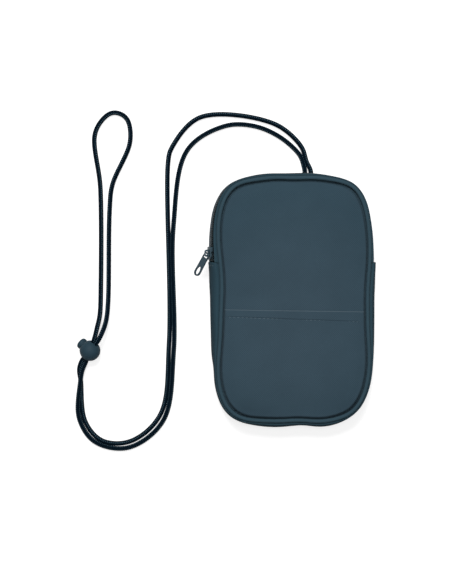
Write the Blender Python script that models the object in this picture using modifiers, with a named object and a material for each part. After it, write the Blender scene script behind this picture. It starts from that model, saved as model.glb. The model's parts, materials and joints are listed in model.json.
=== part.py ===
"""A soft padded crossbody pouch for a phone, lying on its back.

Two padded panels are joined by a gusset: a plain one round the bottom, and one
with a coil zip over the top. A bead covers both seams. A slip pocket lies on the
front. A doubled neck cord leaves the top seam and runs through a ball lock.
Metres, +Z up. The origin is the centre of the back panel's outer face, +Y runs
to the pouch's top and +Z out of its front.
"""

import bmesh
import bpy
import numpy as np
from math import cos, pi, radians, sin
from mathutils import Matrix, Vector

MM = 0.001
GAP = 0.3 * MM  # left between pieces that touch
OVERRUN = 4.0 * MM  # how far a cutter runs past what it cuts
WELD = 0.01 * MM

# Outline halfway up the gusset, a superellipse
BODY_WIDTH = 116.4 * MM
BODY_HEIGHT = 179.8 * MM
BODY_SQUARENESS = 4.0

# Seams between panels and gusset, each under a bead
SIDE_SWELL = 6.9 * MM  # of the gusset past the seams, at the sides and at the ends
END_SWELL = 4.3 * MM
SEAM_SQUARENESS = 5.6
SEAM_DEPTH = 20.3 * MM  # from the back seam to the front one
BEAD_DIAMETER = 2.8 * MM
BEAD_LIFT = 0.5 * MM  # of the back bead above what the pouch lies on
LEAN_RIGHT = 0.9 * MM  # of the front against the back
LEAN_UP = 0.35 * MM

# How far the soft outlines stand outside their superellipses, in millimetres at
# every 10 degrees, as measured on the photograph
SEAM_WAVES = (
    0.3, 1.0, 2.0, 1.7, 0.3, -1.2, -1.3, -0.4, -0.1, -0.3, -0.1, -0.4,
    -1.2, -0.6, 1.5, 2.5, 1.2, -0.3, -0.3, 0.3, 1.1, 2.6, 2.2, 0.7,
    0.1, 0.1, 0.1, -0.3, -0.1, 0.3, -0.7, -1.5, 0.0, 1.7, 1.1, 0.4,
)
BODY_WAVES = (
    0.0, 0.5, 0.2, -0.4, -0.1, -0.3, -1.0, -0.5, 0.2, 0.0, -0.1, -0.2,
    -0.4, 0.8, 2.0, 1.7, 1.2, 0.5, 0.2, -0.1, -0.4, -0.5, 0.7, 1.2,
    0.5, 0.3, 0.3, -0.2, 0.0, 0.5, 0.0, -0.1, 0.2, 0.2, -0.1, -0.2,
)

# Panels, from the outside in
PANEL_THICKNESS = 1.2 * MM
FOAM_THICKNESS = 2.0 * MM
LINING_THICKNESS = 0.5 * MM
PANEL_STEP = 0.2 * MM  # front panel's edge above the bead's centre
PANEL_CROWN = 2.2 * MM
CROWN_SQUARENESS = 4.0
PANEL_RING_SHARES = (1.0, 0.92, 0.62)

# Slip pocket on the front
POCKET_THICKNESS = 1.0 * MM
MOUTH_LEFT_Y = -6.7 * MM
MOUTH_RIGHT_Y = -8.2 * MM

# Gusset
GUSSET_THICKNESS = 1.3 * MM
GUSSET_STANDOFF = 2.0 * MM  # outer edge from the bead's centre
GUSSET_DROP = 0.4 * MM  # outer edge past the bead's centre, along Z
GUSSET_STEPS = 9
GUSSET_SWELL = 0.8 * MM  # where it laps the zip's ends
SWELL_LENGTH = 15.0 * MM
QUARTER_STEPS = 12

# Seam binding, a tape round the raw edges inside
BINDING_WIDTH = 2.6 * MM
BINDING_THICKNESS = 1.0 * MM

# Zip
ZIP_END_SHARE = 0.1485  # of the body's height, above its middle
ZIP_CENTRE_DROP = 6.0 * MM  # under the front seam
ZIP_OPENING = 6.6 * MM  # height between the two folded edges
FOLD_LEAN = 0.27  # drop of a folded edge through the gusset, per depth
TAPE_THICKNESS = 0.6 * MM
TAPE_TUCK = 1.6 * MM
TAPE_SLIT = 1.8 * MM  # between the two tapes, under the coils
COIL_HALF_WIDTH = 1.8 * MM
COIL_SINK = 0.1 * MM  # below the folded edges
COIL_THICKNESS = 1.2 * MM
TOOTH_PITCH = 2.2 * MM
TOOTH_REACH = 0.6 * MM
TOOTH_GAP = 0.4 * MM
PARTING = 1.3 * MM  # of each coil at the slider's wedge

# Slider
SLIDER_FROM_END = 6.2 * MM
SLIDER_TRAVEL = 16.0 * MM
SLIDER_ROLL = radians(4.0)
SLIDER_LENGTH = 9.2 * MM
SLIDER_NOSE_WIDTH = 6.0 * MM
SLIDER_SHOULDER_WIDTH = 7.6 * MM
SLIDER_PLATE = 1.0 * MM
SLIDER_CLEARANCE = 0.55 * MM
SLIDER_UNDER_CLEARANCE = 1.0 * MM
FLANGE_THICKNESS = 0.6 * MM
FLANGE_LENGTH = 3.6 * MM
FLANGE_DROP = 1.1 * MM
WEDGE_WIDTH = 1.0 * MM
WEDGE_LENGTH = 2.0 * MM
WEDGE_FROM_TAIL = 1.6 * MM

# Bridge over the slider, which holds the pull tab
BRIDGE_WIDTH = 1.3 * MM
BRIDGE_THICKNESS = 0.7 * MM
BRIDGE_SPAN = 5.0 * MM
BRIDGE_RISE = 3.0 * MM

# Pull tab
TAB_LENGTH = 18.0 * MM
TAB_THICKNESS = 1.1 * MM
TAB_ROOT_WIDTH = 5.1 * MM
TAB_END_WIDTH = 5.7 * MM
TAB_BAR = 1.1 * MM
TAB_BAR_HEIGHT = 1.15 * MM  # bar's centre above the slider's plate
TAB_SLOT_WIDTH = 3.7 * MM
TAB_SLOT_LENGTH = 2.7 * MM
TAB_EYE_WIDTH = 3.8 * MM
TAB_EYE_LENGTH = 6.6 * MM
TAB_RIM = 0.9 * MM
TAB_HEADING = radians(-118.5)
TAB_DROOP = radians(8.0)
TAB_ROLL = radians(43.0)

# Cord and its lock
CORD_DIAMETER = 3.0 * MM
CORD_POINT_COUNTS = (30, 23, 27)  # to the lock, round the loop, from the lock
CORD_PINCH_SHARE = 0.85
CORD_END_Z = 4.6 * MM
CURVE_STEPS = 40
BEND_SHARE = 0.65  # of the tube's points, spent on its bends
LOCK_DIAMETER = 14.7 * MM
LOCK_PLACE = (-144.0 * MM, -36.4 * MM, 8.0 * MM)
LOCK_HEADING = radians(59.0)  # of the cords' way through it
LOCK_RISE = radians(22.0)
LOCK_ROLL = radians(-21.8)  # of the button about that way
LOCK_SLOT_WIDTH = 3.0 * MM
LOCK_SLOT_LENGTH = 6.0 * MM  # along the plunger, for two cords side by side
LOCK_STACK = 1.4 * MM  # each cord's centre from the lock's centre, inside
LOCK_STACK_OUTSIDE = 1.65 * MM
LOCK_PINCH_RUN = 7.6 * MM
LOCK_RUN_IN = 9.5 * MM  # straight cord each side of the lock's centre
PLUNGER_DIAMETER = 7.0 * MM
PLUNGER_CLEARANCE = 0.25 * MM
BUTTON_DIAMETER = 7.9 * MM
BUTTON_RIM = 0.9 * MM
BUTTON_HEIGHT = 4.3 * MM
BUTTON_REACH = 9.6 * MM  # end face from the lock's centre
BUTTON_TRAVEL = 1.5 * MM
PLUNGER_WALL = 0.9 * MM
SPRING_WIRE = 0.4 * MM
SPRING_DIAMETER = 3.6 * MM
SPRING_TURNS = 2.0
SPRING_POCKET_DIAMETER = 4.8 * MM
SPRING_POCKET_DEPTH = 0.7 * MM

SEAM_WIDTH = BODY_WIDTH - 2 * SIDE_SWELL
SEAM_HEIGHT = BODY_HEIGHT - 2 * END_SWELL
ZIP_END_Y = BODY_HEIGHT * ZIP_END_SHARE
BEAD_RADIUS = BEAD_DIAMETER / 2
BACK_SEAM_Z = BEAD_LIFT + BEAD_RADIUS
FRONT_SEAM_Z = BACK_SEAM_Z + SEAM_DEPTH
MIDDLE_Z = (BACK_SEAM_Z + FRONT_SEAM_Z) / 2
ZIP_CENTRE_Z = FRONT_SEAM_Z - ZIP_CENTRE_DROP
PANEL_INSET = BEAD_RADIUS + GAP
CORD_RADIUS = CORD_DIAMETER / 2
CORD_REST_Z = CORD_RADIUS + 0.1 * MM
LOCK_RADIUS = LOCK_DIAMETER / 2

# Route of the cord on the table, chosen by hand, in millimetres: from the left
# exit to the lock, round the far loop, and from the lock back to the right exit
ROUTE_TO_LOCK = (
    (8.3, 96.6, 1.8), (6.1, 103.0, 1.6), (-7.5, 115.8, 1.6), (-26.6, 124.2, 1.6),
    (-48.2, 124.2, 1.6), (-74.8, 107.1, 1.6), (-84.8, 52.5, 1.6), (-84.6, -37.1, 1.6),
    (-92.2, -86.9, 1.6), (-116.8, -106.0, 1.6), (-140.9, -102.0, 1.6), (-152.4, -84.8, 1.6),
    (-151.1, -58.2, 4.9), (-148.4, -50.2, 5.0),
)
ROUTE_LOOP = (
    (-135.0, -23.4, 12.0), (-132.5, -14.5, 7.4), (-131.4, 2.5, 1.8), (-130.5, 64.2, 1.6),
    (-128.6, 82.0, 1.6), (-115.8, 113.6, 1.6), (-118.7, 130.2, 1.6), (-129.0, 133.7, 1.6),
    (-140.6, 120.3, 1.6), (-137.1, 79.3, 1.6), (-136.9, 0.5, 1.8), (-137.3, -11.6, 5.6),
    (-138.9, -20.6, 10.8),
)
ROUTE_FROM_LOCK = (
    (-152.2, -49.8, 2.6), (-151.2, -57.8, 1.6), (-148.1, -87.0, 1.6), (-136.0, -101.0, 1.6),
    (-115.5, -101.5, 1.6), (-94.2, -82.5, 1.6), (-87.9, -31.1, 1.6), (-88.6, 98.2, 1.6),
    (-86.2, 108.3, 1.6), (-65.7, 130.5, 1.6), (-13.0, 126.1, 1.6), (6.9, 109.5, 1.6),
    (10.6, 98.6, 1.6),
)
CORD_LEFT_X = 9.3 * MM
CORD_RIGHT_X = 13.6 * MM


def clear_scene():
    for obj in list(bpy.data.objects):
        bpy.data.objects.remove(obj, do_unlink=True)


def make_collection(name):
    group = bpy.data.collections.new(name)
    bpy.context.scene.collection.children.link(group)
    return group


def material(name, color, roughness, metallic=0.0):
    mat = bpy.data.materials.new(name)
    mat.use_nodes = True
    shader = mat.node_tree.nodes["Principled BSDF"]
    shader.inputs["Base Color"].default_value = (*color, 1.0)
    shader.inputs["Roughness"].default_value = roughness
    shader.inputs["Metallic"].default_value = metallic
    mat.diffuse_color = (*color, 1.0)
    return mat


def add_mesh(name, bm, group, mat=None, smooth_angle=radians(35)):
    """An object from a bmesh, with doubles merged and faces turned outwards."""
    bmesh.ops.remove_doubles(bm, verts=bm.verts, dist=WELD)
    bmesh.ops.recalc_face_normals(bm, faces=bm.faces)
    if bm.calc_volume(signed=True) < 0:
        bmesh.ops.reverse_faces(bm, faces=bm.faces)
    mesh = bpy.data.meshes.new(name)
    bm.to_mesh(mesh)
    bm.free()
    mesh.shade_smooth()
    mesh.set_sharp_from_angle(angle=smooth_angle)
    obj = bpy.data.objects.new(name, mesh)
    group.objects.link(obj)
    if mat:
        mesh.materials.append(mat)
    return obj


def add_curve(name, points, group, mat=None, dimensions="3D", cyclic=False, shares=None):
    curve = bpy.data.curves.new(name, "CURVE")
    curve.dimensions = dimensions
    curve.use_fill_caps = True
    add_spline(curve, points, cyclic, shares)
    obj = bpy.data.objects.new(name, curve)
    group.objects.link(obj)
    if mat:
        curve.materials.append(mat)
    return obj


def add_spline(curve, points, cyclic, shares=None):
    spline = curve.splines.new("POLY")
    spline.points.add(len(points) - 1)
    spline.use_cyclic_u = cyclic
    for i, place in enumerate(points):
        spline.points[i].co = (*place, 1.0)
        if shares is not None:
            spline.points[i].radius = shares[i]


def to_mesh(obj):
    """The same object as a welded mesh, so that Booleans can use it."""
    bpy.context.view_layer.update()
    seen = obj.evaluated_get(bpy.context.evaluated_depsgraph_get())
    mesh = bpy.data.meshes.new_from_object(seen)
    bm = bmesh.new()
    bm.from_mesh(mesh)
    made = add_mesh(obj.name + "_mesh", bm, obj.users_collection[0])
    for mat in mesh.materials:
        made.data.materials.append(mat)
    made.matrix_world = obj.matrix_world.copy()
    name = obj.name
    bpy.data.objects.remove(obj, do_unlink=True)
    bpy.data.meshes.remove(mesh)
    made.name = name
    return made


def tube(name, points, radius, group, mat, cyclic=False, level=2, shares=None):
    obj = add_curve(name, points, group, mat, cyclic=cyclic, shares=shares)
    obj.data.bevel_depth = radius
    obj.data.bevel_resolution = level
    return obj


def plate(name, loops, low, thickness, group, mat=None):
    """A flat outline, with any holes, made as thick as stated above low."""
    flat = [[(x, y, 0) for x, y in loop] for loop in loops]
    obj = add_curve(name, flat[0], group, mat, dimensions="2D", cyclic=True)
    for hole in flat[1:]:
        add_spline(obj.data, hole, True)
    obj.data.fill_mode = "BOTH"
    obj.data.extrude = thickness / 2
    obj.location.z = low + thickness / 2
    return to_mesh(obj)


def box(name, low, high, group):
    bm = bmesh.new()
    bmesh.ops.create_cube(bm, size=1.0)
    size = Vector(high) - Vector(low)
    middle = (Vector(high) + Vector(low)) / 2
    bmesh.ops.scale(bm, vec=size, verts=bm.verts)
    bmesh.ops.translate(bm, vec=middle, verts=bm.verts)
    return add_mesh(name, bm, group)


def turned(name, profile, group, mat=None, steps=24):
    """A solid turned about Z from a profile of radius and height, top to bottom."""
    bm = bmesh.new()
    line = [bm.verts.new((radius, 0, height)) for radius, height in profile]
    for start, end in zip(line, line[1:]):
        bm.edges.new((start, end))
    mesh = bpy.data.meshes.new(name)
    bm.to_mesh(mesh)
    bm.free()
    obj = bpy.data.objects.new(name, mesh)
    group.objects.link(obj)
    if mat:
        mesh.materials.append(mat)
    screw = obj.modifiers.new("turn", "SCREW")
    screw.axis = "Z"
    screw.steps = steps
    screw.render_steps = steps
    screw.use_merge_vertices = True
    screw.merge_threshold = WELD
    return to_mesh(obj)


def as_cutter(obj, group):
    for holder in list(obj.users_collection):
        holder.objects.unlink(obj)
    group.objects.link(obj)
    obj.hide_render = True
    obj.display_type = "WIRE"
    return obj


def combine(obj, other, operation):
    boolean = obj.modifiers.new(operation.lower() + "_" + other.name, "BOOLEAN")
    boolean.operation = operation
    boolean.solver = "EXACT"
    boolean.object = other


def loft(name, rings, group, mat, closed=False):
    """A solid through rings of matching points, capped at its ends or joined up."""
    count, width, _ = rings.shape
    bm = bmesh.new()
    verts = [[bm.verts.new(place) for place in ring] for ring in rings]
    for i in range(count if closed else count - 1):
        here, there = verts[i], verts[(i + 1) % count]
        for j in range(width):
            k = (j + 1) % width
            bm.faces.new((here[j], here[k], there[k], there[j]))
    if not closed:
        bm.faces.new(verts[0])
        bm.faces.new(list(reversed(verts[-1])))
    return add_mesh(name, bm, group, mat)


def superellipse(angles, width, height, squareness):
    """Points where (x / half width)^n + (y / half height)^n is 1, seen at angles."""
    across, up = np.cos(angles), np.sin(angles)
    power = np.abs(across) ** squareness + np.abs(up) ** squareness
    reach = power ** (-1 / squareness)
    return np.column_stack((width / 2 * reach * across, height / 2 * reach * up))


def wavy_outline(angles, width, height, squareness, waves):
    """A superellipse pushed along its normals by waves given at even angles.

    The waves are joined by the sines and cosines that pass through all of them.
    """
    flat = superellipse(angles, width, height, squareness)
    half = np.array((width, height)) / 2
    slope = np.sign(flat) * np.abs(flat / half) ** (squareness - 1) / half
    terms = np.fft.rfft(waves)[:-1] / len(waves)
    terms[1:] *= 2
    push = np.real(np.exp(1j * np.outer(angles, np.arange(len(terms)))) @ terms) * MM
    return flat + slope / np.linalg.norm(slope, axis=1)[:, None] * push[:, None]


def angle_at(height):
    """The angle at which the body's right side has this Y."""
    up = 2 * height / BODY_HEIGHT
    across = (1 - abs(up) ** BODY_SQUARENESS) ** (1 / BODY_SQUARENESS)
    return np.arctan2(up, across)


def corner_angles(first, last, count):
    """Angles that crowd together at the outline's corners."""
    def spread(angle):
        return np.arctan2(np.sign(np.sin(angle)) * np.sin(angle) ** 2,
                          np.sign(np.cos(angle)) * np.cos(angle) ** 2)

    def gather(turn):
        return np.arctan2(np.sign(np.sin(turn)) * np.sqrt(np.abs(np.sin(turn))),
                          np.sign(np.cos(turn)) * np.sqrt(np.abs(np.cos(turn))))

    turns = np.linspace(spread(first) % (2 * pi), spread(last) % (2 * pi) + (last > 2 * pi) * 2 * pi, count)
    return np.unwrap(gather(turns))


def zip_angles():
    """From the zip's right end over the top to its left end."""
    end = angle_at(ZIP_END_Y)
    return corner_angles(end, pi - end, 2 * QUARTER_STEPS + 1)


def lower_angles():
    """From the zip's left end round the bottom to its right end."""
    end, near = angle_at(ZIP_END_Y), angle_at(ZIP_END_Y - SWELL_LENGTH)
    inner = corner_angles(pi - near, 2 * pi + near, 2 * QUARTER_STEPS + 1)
    return np.concatenate(([pi - end], inner, [2 * pi + end]))


def ring_angles():
    return np.concatenate((zip_angles()[:-1], lower_angles()[:-1]))


def seam_outline(angles, inset=0.0):
    width, height = SEAM_WIDTH - 2 * inset, SEAM_HEIGHT - 2 * inset
    return wavy_outline(angles, width, height, SEAM_SQUARENESS, SEAM_WAVES)


def seam_points(angles, height, inset=0.0):
    """The bead's line at a height between the seams, where the pouch leans."""
    share = (height - BACK_SEAM_Z) / SEAM_DEPTH
    flat = seam_outline(angles, inset) + np.array((LEAN_RIGHT, LEAN_UP)) * share
    return np.column_stack((flat, np.full(len(flat), height)))


def seam_normals(angles):
    """Outward directions square to the seam's outline."""
    step = radians(0.5)
    along = seam_outline(angles + step) - seam_outline(angles - step)
    normals = np.column_stack((along[:, 1], -along[:, 0]))
    return normals / np.linalg.norm(normals, axis=1)[:, None]


def wall_points(angles, turns, depth=0.0, swell=0.0):
    """Points on the gusset, an ellipse from seam to seam at each angle.

    A turn of 0 is at the front seam and pi at the back one. Depth goes inwards.
    """
    normals = seam_normals(angles)
    body = wavy_outline(angles, BODY_WIDTH, BODY_HEIGHT, BODY_SQUARENESS, BODY_WAVES)
    body += normals * np.reshape(swell, (-1, 1))
    bulge = body - seam_points(angles, MIDDLE_Z)[:, :2] - normals * GUSSET_STANDOFF
    half = SEAM_DEPTH / 2 - GUSSET_DROP - depth
    points = []
    for turn in turns:
        base = seam_points(angles, MIDDLE_Z + half * cos(turn))
        base[:, :2] += normals * (GUSSET_STANDOFF - depth) + bulge * sin(turn)
        points.append(base)
    return np.stack(points, axis=1)


def wall_turn(height, depth=0.0):
    """The turn at which the gusset has this height."""
    half = SEAM_DEPTH / 2 - GUSSET_DROP - depth
    return float(np.arccos((height - MIDDLE_Z) / half))


def wall_band(angles, outer_turns, inner_turns, thickness, depth=0.0, swell=0.0):
    """Closed profiles of a strip of gusset, from one edge to the other and back."""
    outer = wall_points(angles, outer_turns, depth, swell)
    inner = wall_points(angles, inner_turns[::-1], depth + thickness, swell)
    return np.concatenate((outer, inner), axis=1)


def flat_panel(name, low, thickness, group, mat):
    outline = seam_points(ring_angles(), BACK_SEAM_Z, PANEL_INSET)[:, :2]
    return plate(name, [outline], low, thickness, group, mat)


def crowned_panel(name, edge, thickness, group, mat, mouth=None):
    """A panel with a low crown, thickened downwards from its outer face.

    With a mouth, a point and a normal, only what lies behind it is kept.
    """
    angles = ring_angles()
    outline = seam_points(angles, FRONT_SEAM_Z, PANEL_INSET)[:, :2]
    middle = np.array((LEAN_RIGHT, LEAN_UP))
    bm = bmesh.new()
    rings = []
    for share in PANEL_RING_SHARES:
        rise = PANEL_CROWN * (1 - share ** CROWN_SQUARENESS)
        places = middle + (outline - middle) * share
        rings.append([bm.verts.new((x, y, edge + rise)) for x, y in places])
    top = bm.verts.new((*middle, edge + PANEL_CROWN))
    count = len(angles)
    for i in range(count):
        k = (i + 1) % count
        for outer, inner in zip(rings, rings[1:]):
            bm.faces.new((outer[i], outer[k], inner[k], inner[i]))
        bm.faces.new((rings[-1][i], rings[-1][k], top))
    if mouth:
        geometry = bm.verts[:] + bm.edges[:] + bm.faces[:]
        point, normal = mouth
        bmesh.ops.bisect_plane(bm, geom=geometry, plane_co=point, plane_no=normal, clear_outer=True)
    obj = add_mesh(name, bm, group, mat)
    solid = obj.modifiers.new("thickness", "SOLIDIFY")
    solid.thickness = thickness
    solid.offset = -1
    solid.use_even_offset = True
    return obj


def make_panels(group, cloth, foam, lining):
    flat_panel("back_panel", 0, PANEL_THICKNESS, group, cloth)
    low = PANEL_THICKNESS + GAP
    flat_panel("back_foam", low, FOAM_THICKNESS, group, foam)
    low += FOAM_THICKNESS + GAP
    flat_panel("back_lining", low, LINING_THICKNESS, group, lining)
    edge = FRONT_SEAM_Z + PANEL_STEP
    crowned_panel("front_panel", edge, PANEL_THICKNESS, group, cloth)
    under = edge - PANEL_THICKNESS - GAP
    crowned_panel("front_foam", under, FOAM_THICKNESS, group, foam)
    under -= FOAM_THICKNESS + GAP
    crowned_panel("front_lining", under, LINING_THICKNESS, group, lining)


def make_pocket(group, cloth):
    """The slip pocket lies on the panel up to its mouth, which slopes a little."""
    slope = Vector((SEAM_WIDTH, MOUTH_RIGHT_Y - MOUTH_LEFT_Y, 0)).normalized()
    point = Vector((0, (MOUTH_LEFT_Y + MOUTH_RIGHT_Y) / 2, 0))
    normal = Vector((-slope.y, slope.x, 0))
    edge = FRONT_SEAM_Z + PANEL_STEP + GAP + POCKET_THICKNESS
    crowned_panel("front_pocket", edge, POCKET_THICKNESS, group, cloth, (point, normal))


def make_gusset(group, cloth, lining):
    """The lower gusset swells a little where it laps the zip's two ends."""
    angles = lower_angles()
    swell = np.zeros(len(angles))
    swell[[0, -1]] = GUSSET_SWELL
    ends = len(angles) - 1
    turns = np.linspace(0, pi, GUSSET_STEPS)
    rings = wall_band(angles, turns, turns, GUSSET_THICKNESS, swell=swell)
    rings[0] = shifted(rings[0], rings[1])
    rings[ends] = shifted(rings[ends], rings[ends - 1])
    loft("bottom_gusset", rings, group, cloth)
    depth = GUSSET_THICKNESS + GAP
    inner = wall_band(angles, turns, turns, LINING_THICKNESS, depth, swell)
    inner[0] = shifted(inner[0], inner[1])
    inner[ends] = shifted(inner[ends], inner[ends - 1])
    loft("gusset_lining", inner, group, lining)


def shifted(ring, towards):
    """A ring moved along the strip by the gap that its neighbour needs."""
    step = (towards - ring).mean(axis=0)
    return ring + step / np.linalg.norm(step) * GAP


def fold_turns(depth=0.0):
    """Turns of the two folded edges beside the zip, cut square to the band."""
    middle = ZIP_CENTRE_Z - depth * FOLD_LEAN
    half = ZIP_OPENING / 2
    return wall_turn(middle + half, depth), wall_turn(middle - half, depth)


def make_zip_strips(group, cloth):
    angles = zip_angles()
    front_out, back_out = fold_turns()
    front_in, back_in = fold_turns(GUSSET_THICKNESS)
    steps = GUSSET_STEPS // 2
    rings = wall_band(angles, np.linspace(0, front_out, steps), np.linspace(0, front_in, steps),
                      GUSSET_THICKNESS)
    loft("zip_gusset_front", rings, group, cloth)
    steps += 2
    rings = wall_band(angles, np.linspace(back_out, pi, steps), np.linspace(back_in, pi, steps),
                      GUSSET_THICKNESS)
    loft("zip_gusset_back", rings, group, cloth)


def zip_frames(angles):
    """The zip's centre line, with its directions along, across and outwards."""
    front, back = fold_turns()
    step = radians(0.5)
    folds = wall_points(angles, (front, back))
    centre = folds.mean(axis=1)
    ahead = wall_points(angles + step, (front, back)).mean(axis=1)
    behind = wall_points(angles - step, (front, back)).mean(axis=1)
    along = ahead - behind
    along /= np.linalg.norm(along, axis=1)[:, None]
    across = folds[:, 0] - folds[:, 1]
    half_width = np.linalg.norm(across, axis=1) / 2
    across /= 2 * half_width[:, None]
    outward = np.cross(along, across)
    outward /= np.linalg.norm(outward, axis=1)[:, None]
    return centre, across, outward, half_width


def make_tapes(group, mat):
    """Each tape runs from under the coils to under its folded edge."""
    angles = zip_angles()
    centre, across, outward, half_width = zip_frames(angles)
    face = GUSSET_THICKNESS + GAP
    for name, side in (("zip_tape_front", 1), ("zip_tape_back", -1)):
        tuck = wall_turn(ZIP_CENTRE_Z + side * (ZIP_OPENING / 2 + TAPE_TUCK))
        rows = []
        for depth in (face, face + TAPE_THICKNESS):
            slit = centre + across * side * TAPE_SLIT / 2 - outward * depth
            bend = centre + across * side * (half_width - GAP)[:, None] - outward * depth
            tucked = wall_points(angles, (tuck,), depth)[:, 0]
            rows.append((slit, bend, tucked))
        profile = rows[0] + rows[1][::-1]
        loft(name, np.stack(profile, axis=1), group, mat)


def coil_run():
    """Angles one half tooth apart along the zip, and their run from its left end."""
    dense = np.linspace(zip_angles()[0], zip_angles()[-1], 2001)
    line = zip_frames(dense)[0]
    run = np.concatenate(([0], np.cumsum(np.linalg.norm(np.diff(line, axis=0), axis=1))))
    half_teeth = 2 * int(round(run[-1] / TOOTH_PITCH))
    places = np.linspace(GAP, run[-1] - GAP, half_teeth + 1)
    return np.interp(places, run, dense), run[-1] - places


def parting(run):
    """How far each coil stands aside, for a run from the zip's left end."""
    open_until = SLIDER_FROM_END - SLIDER_LENGTH / 2 + WEDGE_FROM_TAIL + WEDGE_LENGTH
    shut_from = SLIDER_FROM_END + SLIDER_LENGTH / 2 - FLANGE_LENGTH + GAP
    share = np.clip((shut_from - run) / (shut_from - open_until), 0, 1)
    return PARTING * share * share * (3 - 2 * share)


def make_coils(group, mat):
    """Two rows of teeth that mesh along a zigzag, as a shut coil zip does."""
    angles, run = coil_run()
    centre, across, outward, _ = zip_frames(angles)
    zigzag = TOOTH_REACH * (-1.0) ** np.arange(len(angles))
    aside = parting(run)
    top, bottom = COIL_SINK, COIL_SINK + COIL_THICKNESS
    for name, side in (("zip_teeth_front", 1), ("zip_teeth_back", -1)):
        inner = zigzag + side * (TOOTH_GAP / 2 + aside)
        outer = side * (COIL_HALF_WIDTH + aside)
        corners = ((inner, top), (outer, top), (outer, bottom), (inner, bottom))
        profile = [centre + across * lateral[:, None] - outward * depth for lateral, depth in corners]
        loft(name, np.stack(profile, axis=1), group, mat)


def slider_matrix():
    """The slider's frame: X to the zip's front side, Y to its shut side, Z out."""
    dense = np.linspace(zip_angles()[0], zip_angles()[-1], 2001)
    line, across, _, _ = zip_frames(dense)
    run = np.concatenate(([0], np.cumsum(np.linalg.norm(np.diff(line, axis=0), axis=1))))
    run = run[-1] - run
    here = np.argmin(np.abs(run - SLIDER_FROM_END))
    there = np.argmin(np.abs(run - SLIDER_FROM_END - SLIDER_TRAVEL))
    forward = Vector(line[there] - line[here]).normalized()
    side = Vector(across[(here + there) // 2])
    outward = side.cross(forward).normalized()
    side = forward.cross(outward)
    frame = Matrix((side, forward, outward)).transposed().to_4x4()
    roll = Matrix.Rotation(SLIDER_ROLL, 4, "Y")
    return Matrix.Translation(Vector(line[here])) @ frame @ roll


def slider_levels():
    """Heights of the slider's four plate faces over the coils' folded edges."""
    coil_top = -COIL_SINK
    tape_low = -(GUSSET_THICKNESS + GAP + TAPE_THICKNESS)
    upper = coil_top + SLIDER_CLEARANCE
    lower = tape_low - SLIDER_UNDER_CLEARANCE
    return lower - SLIDER_PLATE, lower, upper, upper + SLIDER_PLATE


def slider_outline():
    """A shield: a straight narrow nose, wide rounded shoulders at the tail."""
    nose, shoulder = SLIDER_NOSE_WIDTH / 2, SLIDER_SHOULDER_WIDTH / 2
    front, tail = SLIDER_LENGTH / 2, -SLIDER_LENGTH / 2
    bend = front - FLANGE_LENGTH
    right = [(nose * 0.8, front), (nose, front - nose * 0.2), (nose, bend)]
    for share in (1 / 3, 2 / 3, 1):
        turn = share * pi / 2
        right.append((shoulder * cos(turn) ** 0.6, tail * sin(turn) * 0.9 + bend * 0.1))
    right[-1] = (shoulder * 0.45, tail)
    right.insert(3, (shoulder, bend - (shoulder - nose) * 1.5))
    left = [(-x, y) for x, y in reversed(right)]
    return right + left


def make_slider(group, cutters, metal):
    """Two plates joined by a wedge, with flanges that guide the coils."""
    base, lower, upper, top = slider_levels()
    body = plate("slider_body", [slider_outline()], base, top - base, group, metal)
    wide = SLIDER_SHOULDER_WIDTH
    long = SLIDER_LENGTH
    inside = SLIDER_NOSE_WIDTH / 2 - FLANGE_THICKNESS
    flange_low = upper - FLANGE_DROP
    flange_back = long / 2 - FLANGE_LENGTH
    slot = box("slider_tape_slot", (-wide, -long, lower), (wide, long, flange_low), group)
    channel = box("slider_channel", (-inside, -long, lower), (inside, long, upper), group)
    mouth = box("slider_mouth", (-wide, -long, lower), (wide, flange_back, upper), group)
    wedge_y = WEDGE_FROM_TAIL - long / 2
    diamond = [(0, wedge_y), (WEDGE_WIDTH / 2, wedge_y + WEDGE_LENGTH / 2),
               (0, wedge_y + WEDGE_LENGTH), (-WEDGE_WIDTH / 2, wedge_y + WEDGE_LENGTH / 2)]
    sunk = SLIDER_PLATE / 2
    wedge = plate("slider_wedge", [diamond], lower - sunk, upper - lower + 2 * sunk, group)
    for cutter in (slot, channel, mouth):
        combine(body, as_cutter(cutter, cutters), "DIFFERENCE")
    combine(body, as_cutter(wedge, cutters), "UNION")
    frame = slider_matrix()
    for obj in (body, slot, channel, mouth, wedge):
        obj.matrix_world = frame @ obj.matrix_world
    return frame


def make_bridge(group, metal, frame):
    """A flat bow over the slider, its feet on the top plate."""
    top = slider_levels()[3] + GAP
    half, rise, thick = BRIDGE_SPAN / 2, BRIDGE_RISE, BRIDGE_THICKNESS
    bend_share = 0.75
    outer = [(-half, 0), (-half, rise * bend_share), (-half * bend_share, rise),
             (half * bend_share, rise), (half, rise * bend_share), (half, 0)]
    inner_half, inner_rise = half - thick, rise - thick
    inner = [(inner_half, 0), (inner_half, inner_rise * bend_share),
             (inner_half * bend_share, inner_rise), (-inner_half * bend_share, inner_rise),
             (-inner_half, inner_rise * bend_share), (-inner_half, 0)]
    obj = plate("slider_bridge", [outer + inner], -BRIDGE_WIDTH / 2, BRIDGE_WIDTH, group, metal)
    upright = Matrix(((0, 0, 1), (1, 0, 0), (0, 1, 0))).to_4x4()
    obj.matrix_world = frame @ Matrix.Translation((0, 0, top)) @ upright @ obj.matrix_world
    return obj


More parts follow.
